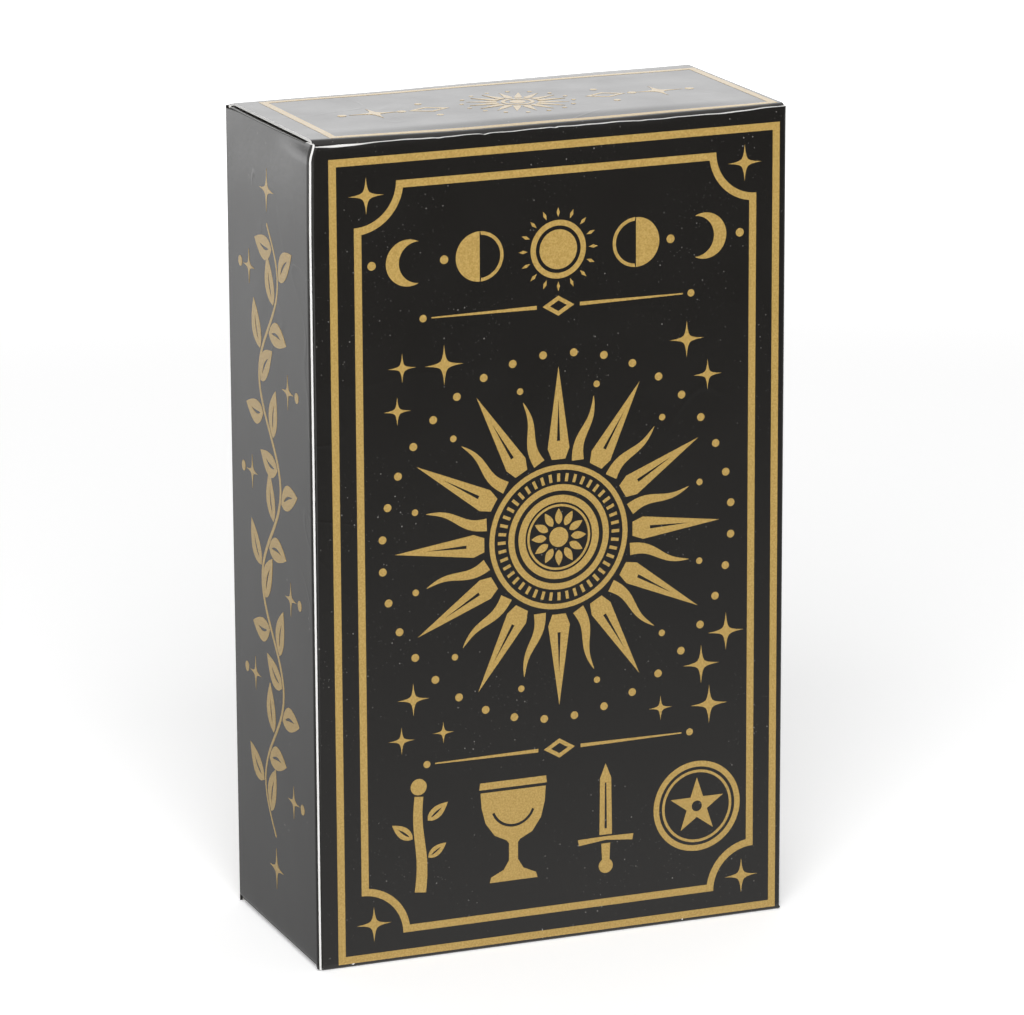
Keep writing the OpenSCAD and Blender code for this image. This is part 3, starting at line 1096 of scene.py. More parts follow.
def vector(x=0.0, y=0.0, z=0.0):
    """A vector of which at least one part is a wire"""
    tree = next(part.tree for part in (x, y, z) if isinstance(part, Wire))
    return out(node(tree, "ShaderNodeCombineXYZ", {0: x, 1: y, 2: z}))


def polar(angle, reach):
    """A vector at an angle in the plane of the print"""
    return vector(angle.math("COSINE") * reach, angle.math("SINE") * reach)


def wreath_tree():
    """Motifs set round a circle, each turned outwards"""
    tree, given = growing_tree(
        "wreath", ("Motif", "Object"), ("Count", "Int"), ("Radius", "Float"), ("First Angle", "Float"),
    )
    angle = numbers(tree) * (2 * math.pi / given["Count"]) + given["First Angle"]
    points = node(tree, "GeometryNodePoints", {
        "Count": given["Count"], "Position": polar(angle, given["Radius"]),
    })
    return close_tree(tree, given, out(points), "Motif", Rotation=vector(z=angle))


def lattice_tree():
    """Motifs in staggered rows about the middle"""
    tree, given = growing_tree(
        "lattice", ("Motif", "Object"), ("Columns", "Int"), ("Rows", "Int"), ("Pitch Across", "Float"),
        ("Pitch Up", "Float"),
    )
    row = (numbers(tree) / given["Columns"]).math("FLOOR")
    column = numbers(tree) % given["Columns"]
    stagger = (row % 2.0 - 0.5) * 0.5
    across = column - (given["Columns"] - 1.0) * 0.5 + stagger
    up = row - (given["Rows"] - 1.0) * 0.5
    points = node(tree, "GeometryNodePoints", {
        "Count": given["Columns"] * given["Rows"],
        "Position": vector(across * given["Pitch Across"], up * given["Pitch Up"]),
    })
    return close_tree(tree, given, out(points), "Motif")


def vine_tree():
    """Leaves along a path, leaning out on either side in turn"""
    tree, given = growing_tree(
        "vine", ("Leaf", "Object"), ("Count", "Int"), ("Lean", "Float"), ("Reach Out", "Float"),
    )
    curve = node(tree, "GeometryNodeMeshToCurve", {0: given["Geometry"]})
    spread = node(tree, "GeometryNodeCurveToPoints", {"Curve": out(curve), "Count": given["Count"]})
    side = numbers(tree) % 2.0 * 2.0 - 1.0
    ahead = split(out(spread, "Tangent"))
    along = ahead[1].math("ARCTAN2", ahead[0])
    shift = polar(along + side * (math.pi / 2), given["Reach Out"])
    set_off = node(tree, "GeometryNodeSetPosition", {"Geometry": out(spread), "Offset": shift})
    return close_tree(tree, given, out(set_off), "Leaf", Rotation=vector(z=along + side * given["Lean"]))


def starfield_tree():
    """Stars strewn over a field, well apart, each of its own size"""
    tree, given = growing_tree(
        "starfield", ("Star", "Object"), ("Spacing", "Float"), ("Smallest", "Float"), ("Largest", "Float"),
        ("Seed", "Int"),
    )
    strewn = node(tree, "GeometryNodeDistributePointsOnFaces", {
        "Mesh": given["Geometry"], "Distance Min": given["Spacing"], "Density Max": 1.0,
        "Seed": given["Seed"],
    }, distribute_method="POISSON")
    size = node(tree, "FunctionNodeRandomValue", {"Seed": given["Seed"]}, data_type="FLOAT")
    ends = [k for k, end in enumerate(size.inputs) if end.type == "VALUE" and end.name in ("Min", "Max")]
    feed(size, {ends[0]: given["Smallest"], ends[1]: given["Largest"]})
    drawn = next(k for k, end in enumerate(size.outputs) if end.type == "VALUE" and end.enabled)
    return close_tree(tree, given, out(strewn, "Points"), "Star", Scale=out(size, drawn))


WREATH = wreath_tree()
LATTICE = lattice_tree()
VINE = vine_tree()
STARFIELD = starfield_tree()


def grown(tree, base=None, **values):
    """The flat shape that a tree makes from its named inputs"""
    holder = placed(tree.name, base or bpy.data.meshes.new(tree.name))
    modifier = holder.modifiers.new("grow", "NODES")
    modifier.node_group = tree
    values["Ink"] = GOLD
    for item in tree.interface.items_tree:
        label = item.name.replace(" ", "_")
        if item.in_out == "INPUT" and label in values:
            modifier[item.identifier] = values[label]
    graph = bpy.context.evaluated_depsgraph_get()
    made = bpy.data.meshes.new_from_object(holder.evaluated_get(graph), depsgraph=graph)
    holder.modifiers.remove(modifier)
    points = np.array([vertex.co[:2] for vertex in made.vertices], float)
    faces = [tuple(face.vertices) for face in made.polygons]
    for used in [holder] + [value for value in values.values() if isinstance(value, bpy.types.Object)]:
        data = used.data
        bpy.data.objects.remove(used)
        bpy.data.meshes.remove(data)
    bpy.data.meshes.remove(made)
    return wound(points, faces)


def wreath(shape, count, radius=0.0, first_deg=0.0):
    """A flat shape repeated round a circle"""
    return grown(
        WREATH, Motif=motif("wreath_motif", shape), Count=count, Radius=float(radius),
        First_Angle=math.radians(first_deg),
    )


def lattice(shape, columns, rows, pitch_across, pitch_up):
    """A flat shape repeated in staggered rows"""
    return grown(
        LATTICE, Motif=motif("lattice_motif", shape), Columns=columns, Rows=rows,
        Pitch_Across=float(pitch_across), Pitch_Up=float(pitch_up),
    )


def vine(path, shape, count, lean_deg, reach_out):
    """A leaf repeated along a path"""
    base = bpy.data.meshes.new("vine_path")
    points = np.hstack([path, np.zeros((len(path), 1))])
    base.from_pydata(points.tolist(), [(i, i + 1) for i in range(len(path) - 1)], [])
    return grown(
        VINE, base, Leaf=motif("vine_leaf", shape), Count=count, Lean=math.radians(lean_deg),
        Reach_Out=float(reach_out),
    )


def starfield(field, shape, spacing, smallest, largest, seed):
    """A star strewn over a flat field"""
    return grown(
        STARFIELD, sheet_mesh("star_field", field), Star=motif("field_star", shape), Spacing=float(spacing),
        Smallest=float(smallest), Largest=float(largest), Seed=seed,
    )


# Print on the panels: thin plates of ink that follow the board

INK_LIFT = 0.02
INK_SINK = 0.015
INK_CELL = 5.0
LID_INK_CELL = 1.0
SIDE_INK_CELL = 2.0
INK_STEP = 0.002
INK_LEVELS = 11
WELD = 1e-5


def cut_to_cells(shape, cell):
    """A flat shape cut along a grid, so that it can follow a curved panel"""
    build = bmesh.new()
    points = [build.verts.new((x, y, 0)) for x, y in shape[0]]
    for face in shape[1]:
        build.faces.new([points[i] for i in face])
    bmesh.ops.remove_doubles(build, verts=build.verts, dist=WELD)
    low, high = shape[0].min(0), shape[0].max(0)
    for k, normal in enumerate((Vector((1, 0, 0)), Vector((0, 1, 0)))):
        for place in np.arange(np.ceil(low[k] / cell), high[k] / cell) * cell:
            whole = build.verts[:] + build.edges[:] + build.faces[:]
            bmesh.ops.bisect_plane(build, geom=whole, plane_co=normal * place, plane_no=normal, dist=WELD)
    build.verts.index_update()
    points = np.array([vertex.co[:2] for vertex in build.verts])
    faces = [tuple(vertex.index for vertex in face.verts) for face in build.faces]
    build.free()
    return points, faces


def islands(count, faces):
    """The number of the separate island that each point belongs to"""
    parent = list(range(count))

    def top(i):
        while parent[i] != i:
            parent[i] = parent[parent[i]]
            i = parent[i]
        return i

    for face in faces:
        for i in face[1:]:
            parent[top(i)] = top(face[0])
    return np.unique([top(i) for i in range(count)], return_inverse=True)[1]


def printed(name, shape, surface, body, ink=GOLD, cell=INK_CELL):
    """A closed thin plate of ink on a panel's surface"""
    points, faces = cut_to_cells(shape, cell)
    count = len(points)
    sides = {}
    for face in faces:
        sides.update(dict.fromkeys(zip(face, face[1:] + face[:1])))
    walls = [(b, a, a + count, b + count) for a, b in sides if (b, a) not in sides]
    under = [tuple(i + count for i in reversed(face)) for face in faces]
    lift = INK_LIFT + INK_STEP * (islands(count, faces) % INK_LEVELS)
    solid = np.vstack([surface(points, lift), surface(points, -INK_SINK)])
    piece = mesh_object(name, solid, faces + under + walls, (ink,))
    return finished(piece, body, "printed_board")


def front_surface(points, lift):
    """Points of the front print: across is x and up is z"""
    x, z = points.T
    x = x + PRINT_SPREAD * (x - FRONT_LOW[0]) / (FRONT_HIGH[0] - FRONT_LOW[0]) * (1 - z / FRONT_HIGH[2])
    return np.stack([x, FRONT_LOW[1] - front_bow(x, z) - lip_flare(x, z) - lift, z + front_rise(x, z)], 1)


def back_surface(points, lift):
    """Points of the back print, seen from behind"""
    x, z = points.T
    return np.stack([-x, BACK_HIGH[1] + lift + 0 * x, z], 1)


def left_surface(points, lift):
    """Points of the left print, seen from the left"""
    across, z = points.T
    return np.stack([LEFT_LOW[0] + side_lean(-across, z) - lift, -across, z], 1)


def right_surface(points, lift):
    """Points of the right print, seen from the right"""
    across, z = points.T
    return np.stack([RIGHT_HIGH[0] + lift + 0 * z, across, z], 1)


def lid_surface(points, lift):
    """Points of the lid's print: across is x and up is y"""
    x, y = points.T
    return np.stack([x, y, LID_HIGH[2] + lid_wave(x) - lid_drop(x, y) + lift], 1)


LINE = 1.13
# How much wider the front print runs at its foot than at its top, towards the right
PRINT_SPREAD = 0.22
BORDER_X, BORDER_Z = 1.02, 61.2
BORDER_HALF_W, BORDER_HALF_H = 35.32, 60.6
FRAME_INSET = 3.75
FRAME_SCOOP = 6.5
CORNER_STAR_IN = 1.9
# Heights on the front print, from the middle of its border
SUN_UP = 62.5 - BORDER_Z
MOONS_UP = 44.6
UPPER_RULE_UP = 36.2
LOWER_RULE_UP = -31.2
SUITS_UP = -43.0
RULE_HALF_W = 22
SUIT_PITCH = 12.4
# Nicks at the foot of the front panel: place, half width, half height and turn
FOOT_NICKS = ((-1.8, 0.09, 0.85, 4), (-32.0, 0.28, 0.16, 8), (21.0, 0.16, 0.12, 0))
NICK_SINK = 0.1
# The field of small stars round the sun
FIELD_HALF_W = 27.4
FIELD_HALF_H = 28.5
FIELD_RADIUS = 31.8
# The climbing vine on the sides
VINE_HALF = 47
VINE_WAVE = 31.3
VINE_SWAY = 4.4
BERRY_SWAY = -12.1
VINE_STAR_SWAY = -8.2
END_STAR_UP = 52
# Room between the lid's edges and its border: left, front, right and rear
LID_MARGINS = (3.1, 1.12, 0.7, 3.3)
LID_LINE = 1.15
# The back's lattice of stars, and the room round its medallion
BACK_COLUMNS, BACK_ROWS = 7, 21
BACK_PITCH = (8.0, 4.9)
BACK_HALF_W = 27.6
MEDALLION_ROOM = 20.4


def corner_stars(half_wide, half_high, star):
    """One star near each corner of a rectangle"""
    return joined(*[
        moved(star, sx * half_wide, sy * half_high) for sx in (-1, 1) for sy in (-1, 1)
    ])


def border_and_frame():
    """The outer border, the scooped inner line and the corner stars, about their middle"""
    wide, high = BORDER_HALF_W - FRAME_INSET, BORDER_HALF_H - FRAME_INSET
    return joined(
        frame_line(BORDER_HALF_W, BORDER_HALF_H, LINE),
        scooped_line(wide, high, FRAME_SCOOP, LINE),
        corner_stars(wide - CORNER_STAR_IN, high - CORNER_STAR_IN, sparkle(2.7, 0.75)),
    )


def sun():
    """A plain sun: a disc with engraved rings, straight and wavy rays in turn, and a wreath of dots"""
    return joined(
        disc(6.4, arc(5.3)),
        ring(5.0, 0.35),
        disc(1.5),
        wreath(leaf(2.4, 1.15), count=12, radius=1.95),
        ring(8.0, 0.95),
        wreath(filled(box(0.62, 0.24)), count=44, radius=9.05),
        ring(11.0, 0.8),
        wreath(ray(11.8, 25.8, half_width=1.72, slit=0.5), count=12, first_deg=90),
        wreath(flame(11.8, 21.6, half_width=0.92, sway=0.5), count=12, first_deg=105),
        wreath(disc(0.5), count=12, radius=23.4, first_deg=105),
        wreath(disc(0.6), count=36, radius=27.8, first_deg=95),
    )


def moon_row():
    """Phases of the moon in a row"""
    lit_half = filled(arc(2.9, 90, 270))
    dark_half = filled(np.vstack([arc(2.9, -88, 88), arc(2.5, 86, -86)]))
    side = joined(
        moved(joined(lit_half, dark_half), -9.6),
        moved(crescent(2.7, 2.4, 1.25), -18.2),
        moved(disc(0.5), -13.9),
        moved(disc(0.5), -22.6),
    )
    full = joined(disc(3.4, arc(2.75)), disc(2.3))
    return joined(full, mirrored(side), wreath(filled(diamond(0.55, 0.2)), count=16, radius=4.3))


def suit_row():
    """The four suit emblems in a row"""
    return joined(*[moved(emblem(), SUIT_PITCH * (i - 1.5)) for i, emblem in enumerate(SUIT_EMBLEMS)])


def star_field():
    """Small stars strewn over the four corners round the sun"""
    start = math.degrees(math.acos(FIELD_HALF_W / FIELD_RADIUS))
    end = math.degrees(math.asin(FIELD_HALF_H / FIELD_RADIUS))
    corner = filled(np.vstack([arc(FIELD_RADIUS, start, end), [(FIELD_HALF_W, FIELD_HALF_H)]]))
    upper = mirrored(corner)
    field = joined(upper, moved(upper, turn_deg=180))
    return starfield(field, sparkle(2.8, 0.75), spacing=6.0, smallest=0.5, largest=1.1, seed=7)


def front_design():
    """The front print: border and frame, moons, sun, suits and stars"""
    stars = star_field()
    parts = (
        border_and_frame(),
        moved(sun(), up=SUN_UP),
        moved(moon_row(), up=MOONS_UP, size=1.28),
        moved(divider(RULE_HALF_W), up=UPPER_RULE_UP),
        moved(divider(RULE_HALF_W), up=LOWER_RULE_UP),
        moved(suit_row(), up=SUITS_UP, size=1.2),
        moved(stars, up=SUN_UP),
    )
    return moved(joined(*parts), BORDER_X, BORDER_Z)


def front_scuffs():
    """Small worn nicks where the film has broken along the foot of the front panel"""
    return joined(*[
        moved(filled(diamond(half_wide, half_high)), x, FRONT_LOW[2] + half_high - NICK_SINK, turn)
        for x, half_wide, half_high, turn in FOOT_NICKS
    ])


def side_design():
    """A climbing vine with leaves, berries and a star at either end"""
    def swing(up):
        return np.sin(up * 2 * np.pi / VINE_WAVE)

    rise = np.linspace(-VINE_HALF, VINE_HALF, 120)
    path = np.stack([VINE_SWAY * swing(rise), rise], 1)
    stem = band(path, 0.75 - 0.3 * np.abs(rise / VINE_HALF) ** 2)
    leaves = vine(path[4:-4], leaf(7.6, 3.7, vein=0.5, sway=0.55), count=22, lean_deg=52, reach_out=0.62)
    berries = []
    for up in (np.arange(6) - 2.5) * VINE_WAVE / 2:
        berries.append(moved(disc(0.8), BERRY_SWAY * swing(up), up))
        berries.append(moved(sparkle(2.6, 0.65), VINE_STAR_SWAY * swing(up), up))
    ends = [moved(sparkle(3.2, 0.8), up=up) for up in (END_STAR_UP, -END_STAR_UP)]
    return moved(joined(stem, leaves, *berries, *ends), up=CARTON_MID_Z)


def lid_design():
    """A border with a star, a diamond and dots on either side of a small sunburst"""
    left, front, right, rear = LID_MARGINS
    low = np.array([LID_LEFT[0] + left, LID_LOW[1] - LID_SPRING + front])
    high = np.array([LID_RIGHT[0] - right, LID_HIGH[1] - rear])
    mid, half = (low + high) / 2, (high - low) / 2
    burst = joined(
        disc(2.5, arc(1.9)), disc(1.2), wreath(ray(3.1, 7.6, half_width=0.62), count=16),
        wreath(disc(0.35), count=16, radius=8.4, first_deg=11.25),
    )
    side = joined(
        moved(filled(diamond(3.2, 1.9), diamond(2.2, 1.3)), 14),
        moved(sparkle(4.0, 0.95), 22.5),
        moved(disc(0.7), 18.3),
        moved(disc(0.7), 27.6),
        moved(disc(0.55), 14, 4.6),
        moved(disc(0.55), 14, -4.6),
    )
    return moved(joined(frame_line(*half, LID_LINE), burst, mirrored(side)), *mid)


def back_design():
    """The same border and frame, with a staggered lattice of small stars about a medallion"""
    tiles = lattice(sparkle(2.0, 0.5), BACK_COLUMNS, BACK_ROWS, *BACK_PITCH)
    stars = np.array(tiles[1]).reshape(BACK_COLUMNS * BACK_ROWS, -1, 3)
    middles = tiles[0][stars].mean((1, 2))
    clear = (np.abs(middles[:, 0]) < BACK_HALF_W) & (np.hypot(*middles.T) > MEDALLION_ROOM)
    kept = [tuple(face) for face in stars[clear].reshape(-1, 3).tolist()]
    small_sun = joined(disc(2.0, arc(1.4)), disc(0.9), wreath(ray(2.7, 5.2, half_width=0.5), count=12))
    medallion = joined(
        ring(17.6, 0.9), ring(15.9, 0.4),
        wreath(disc(0.45), count=24, radius=12.8),
        wreath(leaf(2.2, 1.0), count=24, radius=13.0, first_deg=7.5),
        moved(crescent(9.0, 7.5, 3.4), up=-1.2, turn_deg=90),
        moved(small_sun, up=4.2),
    )
    return moved(joined(border_and_frame(), (tiles[0], kept), medallion), up=BORDER_Z)


printed("front_print", front_design(), front_surface, "sleeve")
printed("front_scuffs", front_scuffs(), front_surface, "sleeve", CORE)
printed("back_print", back_design(), back_surface, "sleeve")
printed("left_print", side_design(), left_surface, "sleeve", cell=SIDE_INK_CELL)
printed("right_print", side_design(), right_surface, "sleeve")
printed("lid_print", lid_design(), lid_surface, "lid", cell=LID_INK_CELL)


# Finishes of the CAD nodes that stay in sight: lines on them are measured in metres

DECK_CARDS = 78
CARD_PITCH = (box_mm("card_pentacles_king")[1][1] - CARD_LOW[1]) / DECK_CARDS
CARD_CREAM = ((0.78, 0.735, 0.63), (0.85, 0.81, 0.71))
CARD_LINE = (0.05, 0.042, 0.035)
CARD_BACK = (0.009, 0.0085, 0.009)
CARD_EDGE = ((0.66, 0.62, 0.54), (0.85, 0.82, 0.75))
CARD_GAP_SHADE = (0.16, 0.14, 0.11)
# Lines round a card or a cover: how far in each begins, and its width
CARD_LINES = ((0.0032, 0.0007), (0.0046, 0.0003))
CARD_BACK_LINE = (0.0058, 0.0004)
COVER_LINES = ((0.004, 0.0008), (0.0056, 0.0003))
LATTICE_EDGE = (0.0060, 0.0061)
LATTICE_PITCH = 0.0062
LATTICE_LINE = 0.00035
LINE_SOFTNESS = 5e-5
GILT = (0.44, 0.29, 0.08)
COVER_BLACK = ((0.010, 0.0095, 0.0095), (0.016, 0.015, 0.0145))
COVER_CUT = ((0.60, 0.57, 0.50), (0.78, 0.75, 0.68))
SHEET_LAYERS = ((0.66, 0.62, 0.52), (0.82, 0.785, 0.69))
SHEET_FIBRE = (0.70, 0.65, 0.55)
WIRE_STEEL = ((0.52, 0.53, 0.55), (0.68, 0.69, 0.71))
FLAP_BARE = ((0.72, 0.70, 0.66), (0.81, 0.795, 0.76))
# Hidden flaps: the name of the finish, and the direction that the printed side faces
FOLDED_FLAPS = {
    "bottom_left_dust_flap": ("left_flap_board", (-0.7, 0, -0.7)),
    "bottom_right_dust_flap": ("right_flap_board", (0.7, 0, -0.7)),
    "bottom_tuck_flap": ("tuck_flap_board", (0, 0.95, -0.3)),
    "seam_flap": ("seam_flap_board", (-1, 0, 0)),
}


def facing(place, axis):
    """How far a surface faces along an axis of the piece itself"""
    normal = out(node(place.tree, "ShaderNodeTexCoord"), "Normal")
    along = node(place.tree, "ShaderNodeVectorMath", {0: normal, 1: axis}, operation="DOT_PRODUCT")
    return out(along, "Value")


def towards(place, axis):
    """1 on the flat side of a thin piece that faces along an axis"""
    return between(0.4, 0.6, facing(place, axis))


def off_middle(value):
    """How far a value's fraction lies from its middle"""
    return abs(value.math("FRACT") - 0.5)


def edge_distance(place, low, high):
    """Distance from the rim of an upright rectangle in x and z"""
    parts = split(place)
    gaps = []
    for k in (0, 2):
        mid, half = float(low[k] + high[k]) / 2 * MM, float(high[k] - low[k]) / 2 * MM
        gaps.append(half - abs(parts[k] - mid))
    return gaps[0].math("MINIMUM", gaps[1])


def stripe(distance, start, width):
    """1 on a line of a given width that begins at a distance"""
    inside = between(start - LINE_SOFTNESS, start + LINE_SOFTNESS, distance)
    end = start + width
    return inside * between(end + LINE_SOFTNESS, end - LINE_SOFTNESS, distance)


def double_line(distance, lines):
    """1 on either of two lines"""
    return either(stripe(distance, *lines[0]), stripe(distance, *lines[1]))


def lattice_lines(place):
    """1 on the lines of a diamond lattice in x and z"""
    x, _, z = split(place)
    width = LATTICE_LINE / LATTICE_PITCH
    rising, falling = (off_middle(slant / LATTICE_PITCH) for slant in (x + z, x - z))
    return either(between(width, 0.6 * width, rising), between(width, 0.6 * width, falling))


def card_edge(place):
    """The cut edges of the cards in the deck: each of its own tone, with painted shade in the gaps between
    cards, and fibres
    """
    count = (split(place)[1] - CARD_LOW[1] * MM) / (CARD_PITCH * MM)
    each = node(place.tree, "ShaderNodeTexWhiteNoise", {"W": count.math("FLOOR")}, noise_dimensions="1D")
    fibre = noise(stretched(place, 0.2, 2.0, 0.2), 1500, detail=3, roughness=0.7)
    # painted shade along the gaps between the cards
    gap_shade = between(0.36, 0.5, off_middle(count))
    return tint(gap_shade * 0.75, tint(out(each) * 0.65 + fibre * 0.35, *CARD_EDGE), CARD_GAP_SHADE)


def card_stock():
    """A card: cream face with a fine line, black and gold back, and a cut edge of pressed layers"""
    made, shader, place = new_material("card_stock")
    rim = edge_distance(place, CARD_LOW, CARD_HIGH)
    line = double_line(rim, CARD_LINES)
    face = tint(line, tint(noise(place, 160, detail=3), *CARD_CREAM), CARD_LINE)
    lines = lattice_lines(place) * between(*LATTICE_EDGE, rim)
    back = tint(either(either(line, lines), stripe(rim, *CARD_BACK_LINE)), CARD_BACK, GILT)
    front_side, rear_side = towards(place, (0, -1, 0)), towards(place, (0, 1, 0))
    feed(shader, {
        "Base Color": tint(rear_side, tint(front_side, card_edge(place), face), back),
        "Roughness": (front_side + rear_side) * -0.38 + 0.78,
    })
    bumped(shader, noise(place, 2400), 0.00002)
    return made


def booklet_cover_paper():
    """The booklet's cover: black outside with a gold frame, white on its edges"""
    made, shader, place = new_material("booklet_cover_paper")
    gilt = double_line(edge_distance(place, BOOK_LOW, BOOK_HIGH), COVER_LINES)
    outside = tint(gilt, tint(noise(place, 60, detail=3), *COVER_BLACK), GILT)
    flat = between(0.4, 0.6, abs(facing(place, (0, 1, 0))))
    fibre = noise(place, 1200, detail=3)
    shown = either(flat, towards(place, (-1, 0, 0)))
    feed(shader, {"Base Color": tint(shown, tint(fibre, *COVER_CUT), outside), "Roughness": 0.42})
    bumped(shader, fibre, 0.00002)
    return made


def booklet_paper():
    """Uncoated paper, with the layers of its sheets on the edge"""
    made, shader, place = new_material("booklet_paper")
    layers = noise(stretched(place, 0.3, 8.0, 0.3), 600, detail=3, roughness=0.7)
    fibre = noise(place, 1600, detail=3)
    feed(shader, {
        "Base Color": tint(fibre * 0.25, tint(layers, *SHEET_LAYERS), SHEET_FIBRE), "Roughness": 0.85,
    })
    bumped(shader, fibre, 0.00003)
    return made


def staple_wire():
    """Bright drawn wire with fine scratches along it"""
    made, shader, place = new_material("staple_wire")
    scratch = noise(stretched(place, 1, 1, 0.1), 6000)
    feed(shader, {"Base Color": tint(scratch, *WIRE_STEEL), "Metallic": 1, "Roughness": scratch * 0.2 + 0.25})
    bumped(shader, scratch, 0.00001)
    return made


def folded_board(name, outward):
    """Board of a hidden flap: printed black on the side that faces outwards, bare on the other"""
    made, shader, place = new_material(name)
    outside = between(0.3, 0.5, facing(place, outward))
    bare = tint(noise(place, 90, detail=4, roughness=0.6), *FLAP_BARE)
    feed(shader, {
        "Base Color": tint(outside, bare, black_ink(place)), "Roughness": outside * -0.25 + 0.75,
        "Specular IOR Level": 0.12,
    })
    bumped(shader, noise(place, 1500, detail=3, roughness=0.6), 0.00004)
    return made


def dress(names, material):
    """Gives CAD nodes their material"""
    for name in names:
        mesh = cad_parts[name].data
        mesh.materials.clear()
        mesh.materials.append(material)


dress([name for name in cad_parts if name.startswith("card_")], card_stock())
dress(["booklet_cover"], booklet_cover_paper())
dress(["booklet_sheets"], booklet_paper())
dress(["booklet_staples"], staple_wire())
for flap, (finish, outward) in FOLDED_FLAPS.items():
    dress([flap], folded_board(finish, outward))


# Stage, light and camera: places and sizes in metres

PHOTO_WIDTH = 1024
PHOTO_FOCAL = 5476
SENSOR_WIDTH = 36
CLIP_START = 0.01
CAMERA_AZIMUTH = -21.69
CAMERA_ELEVATION = 14.74
CAMERA_ROLL = -0.26
CAMERA_DISTANCE = 0.824
CAMERA_AIM_RIGHT = 0.000775
CAMERA_AIM_UP = 0.000375
CARTON_MIDDLE = (0, 0, CARTON_MID_Z * MM)
WHITE_LIGHT = (1, 1, 1, 1)
NO_COLOUR = (0, 0, 0, 1)
AMBIENT = 0.3
FLOOR_GREY = 0.88
# Painted glow of the floor for direct, gloss and glass rays: a base strength, rising by one more between two
# distances from the carton's foot
FLOOR_PAINTED_GLOW = 0.31
FLOOR_GLOW_RISE = (0.35, 0.9)
FLOOR_HALF = 4
FLOOR_Z = -2e-5
# Level cards that glow a grey and show only in reflections, painted reflections in the glossy board: lowest
# and highest x and y, the height, and two pairs of a place along y and a grey
LEVEL_CARDS = {
    "front_card": ((-0.1, -0.7), (0.6, -0.019), 5e-4, (-0.02, 0.74), (-0.36, 0.16)),
    "left_card": ((-0.6, -0.019), (-0.038, 0.6), 6e-4, (-0.02, 0.45), (0.42, 0.95)),
}
# Upright cards that glow the same way: lowest and highest x and z, the place along y, and the two pairs
UPRIGHT_CARDS = {
    "front_wall": ((-0.5, 1e-3), (0.8, 0.4), -0.5, (-0.5, 0.14), (-0.51, 0.14)),
    "rear_card": ((-0.9, 0.15), (0.1, 0.8), 0.8, (0.8, 0.3), (0.81, 0.3)),
}
# Lamps: the place, the point that they face, width and height, and the radiance
LAMPS = {
    "key_light": ((-0.42, -0.98, 0.92), CARTON_MIDDLE, 0.8, 0.8, 8.2),
    "rear_light": ((0.2, 0.7, 0.45), (0.0, 0.0, 0.15), 1.5, 0.6, 0.62),
}


def camera():
    """The camera at the photograph's angle and framing"""
    data = bpy.data.cameras.new("camera")
    data.sensor_width = SENSOR_WIDTH
    data.lens = PHOTO_FOCAL / PHOTO_WIDTH * SENSOR_WIDTH
    data.clip_start = CLIP_START
    made = placed("camera", data)
    azimuth, elevation = math.radians(CAMERA_AZIMUTH), math.radians(CAMERA_ELEVATION)
    back = Vector((
        math.sin(azimuth) * math.cos(elevation),
        -math.cos(azimuth) * math.cos(elevation),
        math.sin(elevation),
    ))
    turn = (-back).to_track_quat("-Z", "Y").to_matrix()
    aim = Vector(CARTON_MIDDLE) + turn @ Vector((CAMERA_AIM_RIGHT, CAMERA_AIM_UP, 0))
    roll = Matrix.Rotation(math.radians(CAMERA_ROLL), 3, "Z")
    made.matrix_world = Matrix.Translation(aim + back * CAMERA_DISTANCE) @ (turn @ roll).to_4x4()
    SCENE.camera = made


def seen_directly(tree):
    """1 for rays that show the background itself: from the camera, a gloss or glass"""
    path = node(tree, "ShaderNodeLightPath")
    shown = out(path, "Is Camera Ray") + out(path, "Is Glossy Ray")
    return shown.math("ADD", out(path, "Is Transmission Ray"), clamp=True)


def softbox(name, place, aim, wide, high, radiance):
    """A rectangular lamp that shines with a plain radiance towards a point"""
    data = bpy.data.lights.new(name, "AREA")
    data.shape = "RECTANGLE"
    data.size = wide
    data.size_y = high
    data.energy = math.pi * wide * high * radiance
    look = Vector(aim) - Vector(place)
    turn = look.to_track_quat("-Z", "Y").to_matrix().to_4x4()
    placed(name, data).matrix_world = Matrix.Translation(place) @ turn


def plane(name, corners, material):
    """A flat stage piece from its corners"""
    mesh = bpy.data.meshes.new(name)
    mesh.from_pydata(corners, [], [tuple(range(len(corners)))])
    mesh.materials.append(material)
    made = placed(name, mesh)
    return made


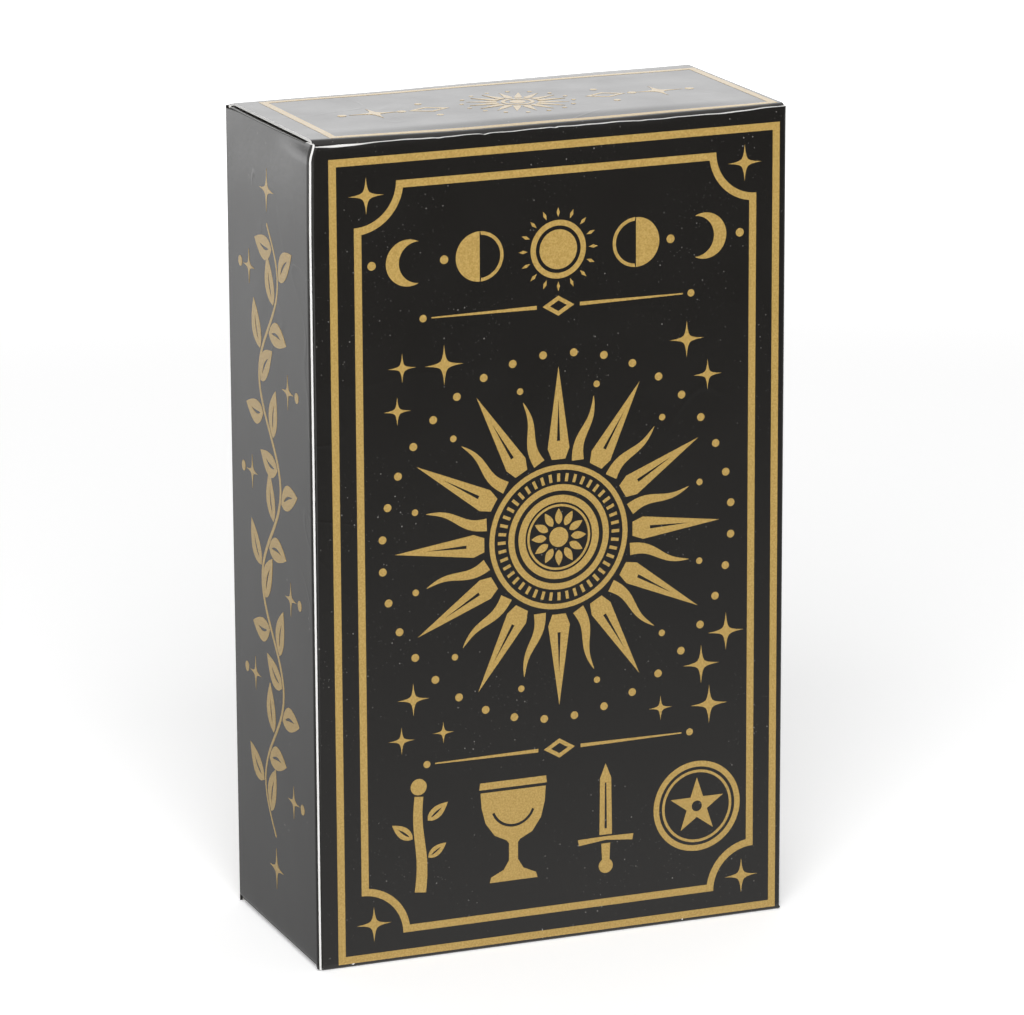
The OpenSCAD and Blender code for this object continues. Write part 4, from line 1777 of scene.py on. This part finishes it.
def rectangle(low, high):
    """The corners of a flat rectangle, in order"""
    return ((low[0], low[1]), (high[0], low[1]), (high[0], high[1]), (low[0], high[1]))


def floor_paper():
    """Pale studio paper that keeps the shadow, with a painted glow for direct, gloss and glass rays that
    rises with distance from the carton: the far floor shows white and the floor near the carton reads darker,
    also in reflections
    """
    made, shader, place = new_material("studio_floor")
    away = out(node(place.tree, "ShaderNodeVectorMath", {0: place}, operation="LENGTH"), "Value")
    # painted glow: brighter away from the carton, whatever light falls there
    painted_glow = between(*FLOOR_GLOW_RISE, away) + FLOOR_PAINTED_GLOW
    feed(shader, {
        "Base Color": (FLOOR_GREY, FLOOR_GREY, FLOOR_GREY, 1), "Roughness": 0.9, "Specular IOR Level": 0,
        "Emission Color": WHITE_LIGHT, "Emission Strength": seen_directly(place.tree) * painted_glow,
    })
    return made


def reflection_card(name, corners, near, far):
    """A flat card that glows a grey and that only reflections show, a painted reflection; near and far give a
    place along y and a grey
    """
    made, shader, place = new_material(name)
    ends = {"From Min": near[0], "From Max": far[0], "To Min": near[1], "To Max": far[1]}
    shade = node(place.tree, "ShaderNodeMapRange", {"Value": split(place)[1], **ends})
    feed(shader, {
        "Base Color": NO_COLOUR, "Specular IOR Level": 0, "Emission Color": WHITE_LIGHT,
        "Emission Strength": out(shade),
    })
    card = plane(name, corners, made)
    card.visible_camera = False
    card.visible_diffuse = False
    card.visible_shadow = False
    card.visible_transmission = False


def studio():
    """A pale floor with a painted glow and a world, grey cards that glow in reflections only as painted
    reflections, and two lamps
    """
    world = bpy.data.worlds.new("studio")
    SCENE.world = world
    world.use_nodes = True
    tree = world.node_tree
    feed(tree.nodes["Background"], {"Color": tint(seen_directly(tree), (AMBIENT,) * 3, WHITE_LIGHT[:3])})
    floor = rectangle((-FLOOR_HALF, -FLOOR_HALF), (FLOOR_HALF, FLOOR_HALF))
    plane("floor", [(x, y, FLOOR_Z) for x, y in floor], floor_paper())
    for name, (low, high, z, near, far) in LEVEL_CARDS.items():
        reflection_card(name, [(x, y, z) for x, y in rectangle(low, high)], near, far)
    for name, (low, high, y, near, far) in UPRIGHT_CARDS.items():
        reflection_card(name, [(x, y, z) for x, z in rectangle(low, high)], near, far)
    for name, lamp in LAMPS.items():
        softbox(name, *lamp)


camera()
studio()
SCENE.view_settings.view_transform = "Standard"
